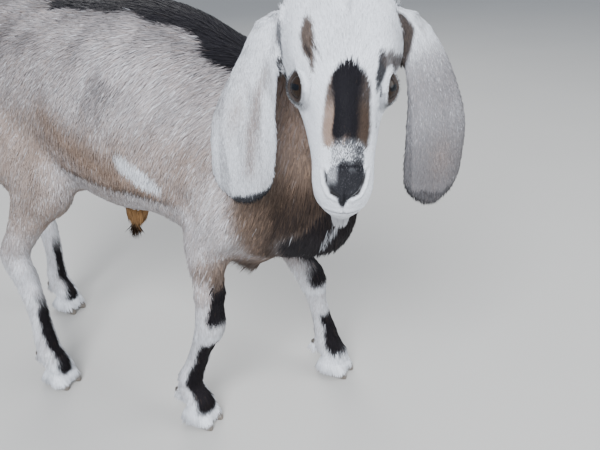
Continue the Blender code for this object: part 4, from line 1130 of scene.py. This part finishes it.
def sink_head(head):
    """Shapes the head's shell and moves it under the coat, and gives its parts and where no hair grows."""
    co = coords(head.data)
    skull, flaps, throat = surface_of("head"), surface_of("ear_left", "ear_right"), surface_of("neck")
    to_skull, to_flap, to_throat = (distance_to(tree, co) for tree in (skull, flaps, throat))
    ear = to_flap < np.minimum(to_skull, to_throat)
    neck = (to_throat < to_skull) & ~ear
    face = ~ear & ~neck
    co[ear] = shape_ears(co[ear])
    co[face] = to_world(HEAD, shape_face(to_local(HEAD, co[face])))
    set_coords(head.data, co)

    n = normals(head.data)
    h = to_local(HEAD, co)
    q = mirrored(h)
    past = np.where(face, lid_reach(q)[0], 1.0)
    off, here = mouth_place(q)
    lips = face & (np.abs(off) < 0.0011) & (here > 0.5)
    slit = face & (edge_of(q, NOSTRIL_LINE, NOSTRIL_WIDTHS) > -0.0018)
    reach = stub_reach(co)
    sunk = np.maximum(fade(0.0, 0.022, to_skull), fade(0.032, 0.016, reach))
    depth = np.where(ear, 0.0005, 0.0008 + 0.0014 * fade(0.10, 0.02, h[:, 0]))
    depth = np.where(neck, 0.0024 + 0.0032 * sunk + 0.0050 * fade(0.017, 0.002, reach), depth)
    depth = depth * fade(0.0030, 0.0075, past)

    # The shell's end inside the neck draws in across the neck, not along its own flat face
    end = neck & (reach < STUB_END)
    spread = co - np.array(STUB_POINT) - reach[:, None] * np.array(STUB_WAY)
    n[end] = spread[end] / np.maximum(np.linalg.norm(spread[end], axis=1, keepdims=True), 0.030)
    set_coords(head.data, co - n * depth[:, None])
    parts = np.where(ear, ON_EAR, np.where(neck, ON_BODY, ON_HEAD))
    return parts, end | (past < 0.0026) | lips | slit


def finish_skin(body, head):
    """Moves the two remeshed shells under the coat, shapes the face and makes them one piece."""
    bare_body = sink_body(body)
    parts_head, bare_head = sink_head(head)
    parts = np.concatenate([np.full(len(bare_body), ON_BODY), parts_head])
    skin = joined([body, head], "skin")
    write_attribute(skin.data, "part", parts)
    write_attribute(skin.data, "bare", np.concatenate([bare_body, bare_head]).astype(float))
    return skin


def write_attribute(mesh, name, values):
    made = mesh.attributes.new(name, "FLOAT", "POINT")
    made.data.foreach_set("value", np.asarray(values, np.float32))


def read_attribute(mesh, name):
    values = np.empty(len(mesh.vertices), np.float32)
    mesh.attributes[name].data.foreach_get("value", values)
    return values


def write_tint(mesh, colours):
    """Stores a colour for each vertex, as the attribute that the coat's materials read."""
    made = mesh.attributes.new("tint", "FLOAT_COLOR", "POINT")
    rgba = np.ones((len(colours), 4), np.float32)
    rgba[:, :3] = colours
    made.data.foreach_set("color", rgba.ravel())


def unwrap(thing):
    """Unwraps a piece for its baked finish."""
    layer = thing.data.uv_layers.new(name="OFBake")
    thing.data.uv_layers.active = layer
    edit_all(thing, bpy.ops.uv.smart_project, angle_limit=math.radians(72), island_margin=0.001)


def triangles_of(mesh):
    """The vertices and the loops of a mesh's triangles, three in a row."""
    mesh.calc_loop_triangles()
    count = len(mesh.loop_triangles)
    corners = np.empty(count * 3, np.int32)
    loops = np.empty(count * 3, np.int32)
    mesh.loop_triangles.foreach_get("vertices", corners)
    mesh.loop_triangles.foreach_get("loops", loops)
    return corners.reshape(-1, 3), loops.reshape(-1, 3)


def grow_coat(skin, total, seed):
    """Roots and places on the unwrap of all tufts, drawn over the skin."""
    mesh = skin.data
    co, n = coords(mesh), normals(mesh)
    part = np.round(read_attribute(mesh, "part")).astype(int)
    bare = read_attribute(mesh, "bare")
    corners, loops = triangles_of(mesh)
    uv = np.empty(len(mesh.loops) * 2, np.float32)
    mesh.uv_layers["OFBake"].data.foreach_get("uv", uv)
    uv = uv.reshape(-1, 2).astype(float)

    a, b, c = (co[corners[:, i]] for i in range(3))
    area = np.linalg.norm(np.cross(b - a, c - a), axis=1) / 2
    density = coat_at(co, n, part)[3]
    weight = density[corners].mean(1) * area * (bare[corners].max(1) < 0.5)
    draw = np.random.default_rng(seed)
    steps = np.cumsum(weight) * total / weight.sum()
    wanted = np.arange(int(steps[-1])) + draw.uniform(0, 1, int(steps[-1]))
    index = np.minimum(np.searchsorted(steps, wanted), len(steps) - 1)
    s, t = draw.uniform(0, 1, (2, len(index)))
    over = s + t > 1
    s, t = np.where(over, 1 - s, s), np.where(over, 1 - t, t)
    share = np.stack([1 - s - t, s, t], 1)
    root = np.einsum("ij,ijk->ik", share, co[corners[index]])
    normal = unit(np.einsum("ij,ijk->ik", share, n[corners[index]]))
    place = np.einsum("ij,ijk->ik", share, uv[loops[index]])
    return root, normal, place, part[corners[index, 0]], draw


def pick_pigment(shares, draw, mixing):
    """One colour for each tuft: one pigment drawn by its share, softened by the mean of all."""
    table = pigment_table()
    steps = np.cumsum(shares**1.6, axis=1)
    chosen = (draw.uniform(0, 1, (len(shares), 1)) * steps[:, -1:] > steps).sum(1).clip(0, len(table) - 1)
    return shares @ table * mixing + table[chosen] * (1 - mixing)


def make_tufts(name, root, normal, lie, length, width, lift, colour, place, draw):
    """Solid tufts as one mesh: each a thin kite with a sunk root, two raised sides and a pointed tip."""
    count = len(root)
    outwards = (lie * normal).sum(1, keepdims=True)
    along = unit(lie - normal * outwards * fade(0.97, 0.60, outwards))
    across = unit(np.cross(normal, along) + draw.normal(0, 0.02, (count, 3)))
    along = unit(along + across * draw.normal(0, 0.12, (count, 1)))
    length, width, lift = length[:, None], width[:, None], lift[:, None]
    rise = np.sin(lift) * length
    middle = root + along * length * 0.40 + normal * rise * 0.52
    tip = root + along * length + normal * rise * 0.72 + across * length * draw.normal(0, 0.05, (count, 1))
    sunk = root - normal * width * 0.45 - along * length * 0.06
    verts = np.stack([sunk, middle + across * width / 2, middle - across * width / 2, tip], 1)
    faces = np.array([(0, 2, 1), (3, 1, 2), (0, 1, 3), (0, 3, 2)])
    faces = (np.arange(count)[:, None, None] * 4 + faces).reshape(-1, 3)

    mesh = bpy.data.meshes.new(name)
    mesh.vertices.add(count * 4)
    mesh.vertices.foreach_set("co", verts.astype(np.float32).ravel())
    mesh.loops.add(len(faces) * 3)
    mesh.loops.foreach_set("vertex_index", faces.astype(np.int32).ravel())
    mesh.polygons.add(len(faces))
    mesh.polygons.foreach_set("loop_start", np.arange(0, len(faces) * 3, 3, dtype=np.int32))
    mesh.polygons.foreach_set("use_smooth", np.ones(len(faces), bool))

    corner_uv = (place[:, None, :] + np.array(TUFT_PATCH)).reshape(-1, 2)[faces.ravel()]
    layer = mesh.uv_layers.new(name="OFBake")
    layer.data.foreach_set("uv", corner_uv.astype(np.float32).ravel())
    # The corners' colours carry painted shade: darker at the sunk root deep in the coat, a little lighter at
    # the tip
    write_tint(mesh, (colour[:, None, :] * np.array(TUFT_PAINTED_SHADE)[None, :, None]).reshape(-1, 3))
    mesh.update(calc_edges=True)
    rounded = np.array([0.0, 0.55, -0.55, 0.0])
    facing = normal[:, None, :] + across[:, None, :] * rounded[None, :, None]
    facing[:, 0] -= along * 0.25
    facing[:, 3] += along * 0.30
    mesh.normals_split_custom_set_from_vertices(unit(facing.reshape(-1, 3)).astype(np.float32))
    return new_object(name, mesh)


class Socket:
    """A shader socket that takes arithmetic: an expression on sockets adds its Math nodes."""

    def __init__(self, maker, output):
        self.maker, self.output = maker, output

    def maths(self, operation, *values):
        return self.maker.node("ShaderNodeMath", {"operation": operation}, values)

    def __add__(self, other):
        return self.maths("ADD", self, other)

    def __sub__(self, other):
        return self.maths("SUBTRACT", self, other)

    def __rsub__(self, other):
        return self.maths("SUBTRACT", other, self)

    def __mul__(self, other):
        return self.maths("MULTIPLY", self, other)

    def __pow__(self, other):
        return self.maths("POWER", self, other)

    def smooth(self, low, high):
        """0 below low, 1 above high, and smooth between; low may be the greater."""
        settings = {"interpolation_type": "SMOOTHSTEP"}
        if low <= high:
            return self.maker.node("ShaderNodeMapRange", settings, {0: self, 1: low, 2: high, 3: 0.0, 4: 1.0})
        return self.maker.node("ShaderNodeMapRange", settings, {0: self, 1: high, 2: low, 3: 1.0, 4: 0.0})

    __radd__ = __add__
    __rmul__ = __mul__


class Finish:
    """One procedural material."""

    def __init__(self, name, roughness=0.5, **sockets):
        self.material = bpy.data.materials.new(name)
        self.material.use_nodes = True
        self.tree = self.material.node_tree
        self.shader = self.tree.nodes["Principled BSDF"]
        self.shader.inputs["Roughness"].default_value = roughness
        for key, value in sockets.items():
            self.shader.inputs[key.replace("_", " ")].default_value = value
        self.place = self.node("ShaderNodeTexCoord", {}, {}, "Object")

    def node(self, kind, settings, values, output=0):
        """Adds a node of a kind, with its settings and its sockets' values or links, and gives an output."""
        made = self.tree.nodes.new(kind)
        for key, value in settings.items():
            setattr(made, key, value)
        pairs = values.items() if isinstance(values, dict) else enumerate(values)
        for key, value in pairs:
            if isinstance(value, Socket):
                self.tree.links.new(value.output, made.inputs[key])
            else:
                made.inputs[key].default_value = value
        return Socket(self, made.outputs[output])

    def noise(self, scale, detail=2.0, roughness=0.5, at=None):
        values = {"Vector": at or self.place, "Scale": scale, "Detail": detail, "Roughness": roughness}
        return self.node("ShaderNodeTexNoise", {}, values)

    def stretched(self, x, y, z):
        return self.node("ShaderNodeMapping", {}, {"Vector": self.place, "Scale": (x, y, z)})

    def attribute(self, name, output="Color"):
        return self.node("ShaderNodeAttribute", {"attribute_name": name}, {}, output)

    def mix(self, factor, first, second):
        """A colour between two colours, each a socket or three numbers."""
        rgba = [v if isinstance(v, Socket) else (*v, 1.0)[:4] for v in (first, second)]
        return self.node("ShaderNodeMix", {"data_type": "RGBA"}, {0: factor, 6: rgba[0], 7: rgba[1]}, 2)

    def scaled(self, colour, factor):
        """A colour made darker or lighter by a number."""
        return self.node("ShaderNodeVectorMath", {"operation": "SCALE"}, {0: colour, "Scale": factor})

    def feed(self, socket, value):
        self.tree.links.new(value.output, self.shader.inputs[socket])

    def bump(self, height, distance, strength=1.0):
        made = self.node("ShaderNodeBump", {}, {"Height": height, "Distance": distance, "Strength": strength})
        self.feed("Normal", made)


def hair_finish():
    finish = Finish("hair", 0.62, Specular_IOR_Level=0.10)
    grain = finish.noise(520, 3, 0.6)
    broad = finish.noise(26, 3, 0.6)
    value = 0.80 + 0.28 * grain + 0.12 * broad
    finish.feed("Base Color", finish.scaled(finish.attribute("tint"), value))
    finish.feed("Roughness", 0.54 + 0.16 * grain)
    return finish.material


def skin_finish():
    finish = Finish("skin", 0.6, Specular_IOR_Level=0.25)
    grain = finish.noise(700, 3, 0.6)
    finish.feed("Base Color", finish.scaled(finish.attribute("tint"), 0.80 + 0.40 * grain))
    finish.feed("Roughness", 0.50 + 0.20 * grain)
    finish.bump(grain, 0.0004)
    return finish.material


def horn_finish(settings):
    finish = Finish("horn", 0.5, Specular_IOR_Level=0.35)
    rings = finish.noise(1.0, 4, 0.6, finish.stretched(60, 60, 620))
    blotch = finish.noise(70, 4, 0.6)
    height = finish.node("ShaderNodeSeparateXYZ", {}, [finish.place], 2)
    worn = height.smooth(0.010, 0.001)
    middle = tuple((a + b) / 2 for a, b in zip(settings.dark, settings.pale))
    dark = finish.mix(blotch.smooth(0.35, 0.7), tuple(settings.dark), middle)
    colour = finish.mix(rings.smooth(0.40, 0.70) * 0.55, dark, tuple(settings.pale))
    finish.feed("Base Color", finish.mix(worn * 0.55, colour, (0.23, 0.20, 0.17)))
    finish.feed("Roughness", 0.42 + 0.25 * blotch)
    finish.bump(rings, 0.0009, 0.8)
    return finish.material


def eye_finish(settings):
    finish = Finish("eye", 0.22, Specular_IOR_Level=0.12, Coat_Weight=0.10, Coat_Roughness=0.03)
    gaze = finish.attribute("gaze", "Vector")
    along, over = (finish.node("ShaderNodeSeparateXYZ", {}, [gaze], i) for i in (0, 1))
    ring = (along * along + over * over) ** 0.5
    streak = finish.noise(1.0, 4, 0.7, finish.stretched(900, 900, 900))
    iris = finish.mix(streak.smooth(0.30, 0.72), tuple(settings.iris_dark), tuple(settings.iris))
    iris = finish.mix(ring.smooth(0.0072, 0.0108), iris, (0.012, 0.007, 0.005))
    slot = (along * (1 / 0.0064)) ** 4 + (over * (1 / 0.0028)) ** 4
    finish.feed("Base Color", finish.mix(slot.smooth(1.35, 0.75), iris, (0.004, 0.005, 0.007)))
    return finish.material


def make_eye(side, radius):
    """An eyeball with its cornea, turned out to its side, that carries the gaze's own coordinates."""
    place = HEAD @ Vector((EYE_PLACE.x, side * EYE_PLACE.y, EYE_PLACE.z))
    look = (HEAD.to_3x3() @ Vector((EYE_LOOK.x, side * EYE_LOOK.y, EYE_LOOK.z))).normalized()
    bpy.ops.mesh.primitive_uv_sphere_add(segments=64, ring_count=40, radius=radius, location=(0, 0, 0))
    eye = bpy.context.view_layer.objects.active
    rename(eye, "eyeball_" + ("left" if side > 0 else "right"))
    level = Vector((0, 0, 1)).cross(look).normalized()
    over = look.cross(level).normalized()
    co = coords(eye.data)
    r = np.linalg.norm(co[:, :2], axis=1)
    bulge = 0.0005 * fade(0.0112, 0.0030, r) * (co[:, 2] > 0)
    gaze = co.copy()
    co = unit(co) * (radius + bulge)[:, None]
    made = eye.data.attributes.new("gaze", "FLOAT_VECTOR", "POINT")
    made.data.foreach_set("vector", gaze.astype(np.float32).ravel())
    turn = np.array(Matrix((level, over, look)).transposed())
    set_coords(eye.data, co @ turn.T + np.array(place))
    eye.data.shade_smooth()
    return eye


def make_claw(node, finish):
    """A claw from its solid, rounded by subdivision on a sole that stays flat."""
    claw = node_copy(node)
    rename(claw, node.replace("claw", "hoof"))
    mesh = bmesh.new()
    mesh.from_mesh(claw.data)
    bmesh.ops.join_triangles(mesh, faces=mesh.faces[:], angle_face_threshold=0.6, angle_shape_threshold=0.9)
    crease = mesh.edges.layers.float.new("crease_edge")
    for edge in mesh.edges:
        if all(v.co.z < 0.0004 for v in edge.verts):
            edge[crease] = 0.9
    mesh.to_mesh(claw.data)
    mesh.free()
    apply(claw, "SUBSURF", levels=2, render_levels=2)
    claw.data.shade_smooth()
    claw.data.materials.append(finish)
    return claw


def make_spur(node, finish):
    """A dewclaw from its solid, a little smaller."""
    spur = node_copy(node, SPUR_GROWTH)
    rename(spur, node.replace("dewclaw", "spur"))
    spur.data.shade_smooth()
    spur.data.materials.append(finish)
    return spur


def skin_tint(skin):
    """Colours the bare skin: the coat's own markings, with dark lids and nostrils and a soft lip line."""
    co, n = coords(skin.data), normals(skin.data)
    part = np.round(read_attribute(skin.data, "part")).astype(int)
    colour = pigments_at(co, n, part) @ pigment_table() * 0.86
    face = part == ON_HEAD
    q = mirrored(to_local(HEAD, co))
    off, here = mouth_place(q)
    lids = fade(0.0030, 0.0018, lid_reach(q)[0]) * face
    slit = fade(-0.0012, 0.0003, edge_of(q, NOSTRIL_LINE, NOSTRIL_WIDTHS)) * face
    lips = bell(off, 0.0010) * here * face * 0.8
    shades = ((lids, (0.026, 0.018, 0.015)), (slit, (0.014, 0.012, 0.013)), (lips, (0.16, 0.13, 0.13)))
    for mask, dark in shades:
        colour = blend(colour, dark, mask)
    write_tint(skin.data, colour)


def make_coat(skin, finish, settings, pieces=8):
    """The whole coat, in pieces from head to tail."""
    total = settings.tufts
    root, normal, place, part, draw = grow_coat(skin, total, settings.seed)
    lie, length, lift, _ = coat_at(root, normal, part)
    count = len(root)
    length = length * settings.length * draw.uniform(0.78, 1.18, count)
    width = np.clip(length * TUFT_WIDTH_SHARE, *TUFT_WIDTHS) * draw.uniform(0.8, 1.25, count) * settings.width
    lift = lift * draw.uniform(0.7, 1.3, count)
    above = np.where(part == ON_BODY, SEEN_ABOVE_BODY, SEEN_ABOVE)
    seen = root + lie * (length * SEEN_ALONG)[:, None] + normal * above[:, None]
    mixing = np.where(part == ON_HEAD, HEAD_BLEND, BLEND)
    along_head = to_local(HEAD, seen)[:, 0]
    speckled = (part == ON_HEAD) * fade(0.148, 0.156, along_head) * fade(0.180, 0.172, along_head)
    mixing = mixing - SPECKLE_BLEND_CUT * speckled
    colour = pick_pigment(pigments_at(seen, normal, part), draw, mixing[:, None])
    colour *= draw.normal(1.0, 0.07, (count, 1)).clip(0.75, 1.2)
    clump = ripple(seen * np.array((1.0, 1.0, 0.5)), 0.0045, 71)
    colour *= 1 + (np.where(part == ON_BODY, 0.085, 0.020) * clump)[:, None]
    order = np.argsort(-(part * 10.0) - root[:, 0], kind="stable")
    made = []
    for i, chosen in enumerate(np.array_split(order, pieces)):
        piece = make_tufts(
            f"coat_{i + 1}", root[chosen], normal[chosen], lie[chosen], length[chosen], width[chosen],
            lift[chosen], colour[chosen], place[chosen], draw,
        )
        piece.data.materials.append(finish)
        made.append(piece)
    return made


def area_light(name, place, size, power, colour):
    """A round soft lamp that looks at the goat."""
    light = bpy.data.lights.new(name, "AREA")
    light.shape = "DISK"
    light.size = size
    light.energy = power
    light.color = colour
    made = new_object(name, light)
    made.location = place
    made.rotation_euler = (Vector(LIGHT_TARGET) - Vector(place)).to_track_quat("-Z", "Y").to_euler()


def make_stage(settings):
    """A round pale floor, a soft sky with three lamps, and the camera at the photograph's angle."""
    bpy.ops.mesh.primitive_circle_add(
        vertices=96, radius=FLOOR_RADIUS, fill_type="NGON", location=(0, 0, -0.0005)
    )
    floor = bpy.context.view_layer.objects.active
    floor.name = "floor"
    finish = Finish("floor", 0.85, Specular_IOR_Level=0.2)
    colour = tuple(settings.floor)
    paler = tuple(c * 1.06 for c in colour)
    finish.feed("Base Color", finish.mix(finish.noise(3, 2), colour, paler))
    floor.data.materials.append(finish.material)

    world = bpy.data.worlds.new("soft_light")
    world.use_nodes = True
    sky = world.node_tree.nodes["Background"]
    sky.inputs[0].default_value = (0.79, 0.87, 1.0, 1.0)
    sky.inputs[1].default_value = settings.sky
    bpy.context.scene.world = world
    power = settings.lamps
    area_light("key", (0.9, -2.1, 2.2), 1.6, power, (0.94, 0.965, 1.0))
    area_light("fill", (2.4, 0.6, 1.4), 2.0, power * 0.34, (0.97, 0.99, 1.0))
    area_light("back", (-1.6, 1.6, 2.2), 1.6, power * 0.30, (1.0, 0.99, 0.97))

    heading = Vector((math.cos(CAMERA_YAW), math.sin(CAMERA_YAW), 0))
    ahead = heading * math.cos(CAMERA_PITCH) - Vector((0, 0, math.sin(CAMERA_PITCH)))
    level = Vector((heading.y, -heading.x, 0))
    up = level.cross(ahead)
    right = level * math.cos(CAMERA_ROLL) + up * math.sin(CAMERA_ROLL)
    over = -level * math.sin(CAMERA_ROLL) + up * math.cos(CAMERA_ROLL)
    camera = bpy.data.cameras.new("camera")
    camera.lens = settings.lens
    camera.sensor_width = 36.0
    camera.clip_start = 0.01
    made = new_object("camera", camera)
    turn = Matrix((right, over, -ahead)).transposed().to_4x4()
    made.matrix_world = Matrix.Translation(CAMERA_PLACE + GOAT_SHIFT) @ turn
    bpy.context.scene.camera = made


def colour_property(name, description, default):
    settings = {"name": name, "description": description, "default": default}
    return FloatVectorProperty(**settings, subtype="COLOR", min=0, max=1)


def length_property(name, description, default):
    return FloatProperty(name=name, description=description, default=default, unit="LENGTH")


def share_property(name, description):
    return FloatProperty(name=name, description=description, default=1.0, subtype="FACTOR")


class SkinSettings(bpy.types.PropertyGroup):
    head_voxel: length_property("Head voxel", "Grid that the head and ears are remeshed at", 0.0021)
    body_voxel: length_property("Body voxel", "Grid that the body and legs are remeshed at", 0.0055)


class CoatSettings(bpy.types.PropertyGroup):
    white: colour_property("White", "Hair of the face, the ears and the patch", (0.77, 0.795, 0.845))
    beige: colour_property("Beige", "Main hair of the body", (0.360, 0.312, 0.308))
    tan: colour_property("Tan", "Warm hair of the flank and the neck", (0.272, 0.178, 0.122))
    brown: colour_property("Brown", "Hair of the brow patch and the brisket", (0.066, 0.045, 0.033))
    black: colour_property("Black", "Hair of the back, the blaze and the shins", (0.0055, 0.0055, 0.0085))
    grey: colour_property("Grey", "Hair of the nose and the ears' streaks", (0.150, 0.152, 0.165))
    ochre: colour_property("Ochre", "Hair of the sheath", (0.300, 0.165, 0.070))
    tufts: IntProperty(name="Tufts", description="Tufts in the whole coat", default=370000, min=1000)
    length: share_property("Length", "Length of the hair, as a share")
    width: share_property("Width", "Width of the tufts, as a share")
    seed: IntProperty(name="Seed", description="Start of the coat's random draws", default=7)


class EyeSettings(bpy.types.PropertyGroup):
    radius: length_property("Radius", "Radius of an eyeball", EYE_RADIUS)
    iris: colour_property("Iris", "Lighter streaks of the iris", (0.024, 0.014, 0.009))
    iris_dark: colour_property("Iris, dark", "Darker streaks of the iris", (0.010, 0.0065, 0.0045))


class HoofSettings(bpy.types.PropertyGroup):
    dark: colour_property("Dark horn", "Darkest horn of the hooves", (0.050, 0.044, 0.040))
    pale: colour_property("Pale horn", "Palest growth rings of the hooves", (0.20, 0.175, 0.15))


class StageSettings(bpy.types.PropertyGroup):
    floor: colour_property("Floor", "Colour of the floor", (0.46, 0.45, 0.43))
    lamps: FloatProperty(name="Lamps", description="Power of the main lamp", default=158.0, unit="POWER")
    sky: FloatProperty(name="Sky", description="Strength of the light from all round", default=0.66)
    lens: FloatProperty(name="Lens", description="Focal length in millimetres", default=39.0, unit="CAMERA")


class MakeSkin(bpy.types.Operator):
    """Make the skin under the coat, with its face and ears"""

    bl_idname = "goat.skin"
    bl_label = "Skin"

    def execute(self, context):
        settings = context.scene.goat_skin
        skin = finish_skin(*build_skin(settings.head_voxel, settings.body_voxel))
        unwrap(skin)
        skin_tint(skin)
        skin.data.shade_smooth()
        skin.data.materials.append(skin_finish())
        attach(skin, "root")
        legs = ["leg_" + foot for foot in FEET]
        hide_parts("head", "neck", "torso", "tail", "sheath", "ear_left", "ear_right", *legs)
        return {"FINISHED"}


class MakeCoat(bpy.types.Operator):
    """Grow the coat on the skin"""

    bl_idname = "goat.coat"
    bl_label = "Coat"

    def execute(self, context):
        skin = bpy.data.objects["skin"]
        for piece in make_coat(skin, hair_finish(), context.scene.goat_coat):
            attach(piece, "root")
        for name in ("part", "bare"):
            skin.data.attributes.remove(skin.data.attributes[name])
        return {"FINISHED"}


class MakeEyes(bpy.types.Operator):
    """Make both eyeballs"""

    bl_idname = "goat.eyes"
    bl_label = "Eyes"

    def execute(self, context):
        settings = context.scene.goat_eyes
        look = eye_finish(settings)
        for side, label in ((1, "left"), (-1, "right")):
            eye = make_eye(side, settings.radius)
            eye.data.materials.append(look)
            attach(eye, "root")
            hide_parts("eye_" + label)
        return {"FINISHED"}


class MakeHooves(bpy.types.Operator):
    """Make the claws of the hooves, and give the dewclaws their horn"""

    bl_idname = "goat.hooves"
    bl_label = "Hooves"

    def execute(self, context):
        horn = horn_finish(context.scene.goat_hooves)
        for name in sorted(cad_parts):
            if name.startswith("claw"):
                piece = make_claw(name, horn)
            elif name.startswith("dewclaw"):
                piece = make_spur(name, horn)
            else:
                continue
            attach(piece, "root")
            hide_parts(name)
        return {"FINISHED"}


class MakeStage(bpy.types.Operator):
    """Set the floor, the lamps and the camera"""

    bl_idname = "goat.stage"
    bl_label = "Stage"

    def execute(self, context):
        make_stage(context.scene.goat_stage)
        return {"FINISHED"}


class GoatPanel(bpy.types.Panel):
    """Lists the goat's sizes and colours and the operators that make its pieces"""

    bl_idname = "GOAT_PT_make"
    bl_label = "Nubian goat"
    bl_space_type = "VIEW_3D"
    bl_region_type = "UI"
    bl_category = "Goat"

    def draw(self, context):
        for name, _, operator in SECTIONS:
            box = self.layout.box()
            settings = getattr(context.scene, name)
            for key in settings.__annotations__:
                box.prop(settings, key)
            box.operator(operator.bl_idname)


SECTIONS = (
    ("goat_skin", SkinSettings, MakeSkin),
    ("goat_coat", CoatSettings, MakeCoat),
    ("goat_eyes", EyeSettings, MakeEyes),
    ("goat_hooves", HoofSettings, MakeHooves),
    ("goat_stage", StageSettings, MakeStage),
)


def register():
    for name, settings, operator in SECTIONS:
        bpy.utils.register_class(settings)
        bpy.utils.register_class(operator)
        setattr(bpy.types.Scene, name, PointerProperty(type=settings))
    bpy.utils.register_class(GoatPanel)


def unregister():
    bpy.utils.unregister_class(GoatPanel)
    for name, settings, operator in reversed(SECTIONS):
        delattr(bpy.types.Scene, name)
        bpy.utils.unregister_class(operator)
        bpy.utils.unregister_class(settings)


def main():
    register()
    bpy.ops.goat.skin()
    bpy.ops.goat.coat()
    bpy.ops.goat.eyes()
    bpy.ops.goat.hooves()
    bpy.ops.goat.stage()


if __name__ == "__main__":
    main()
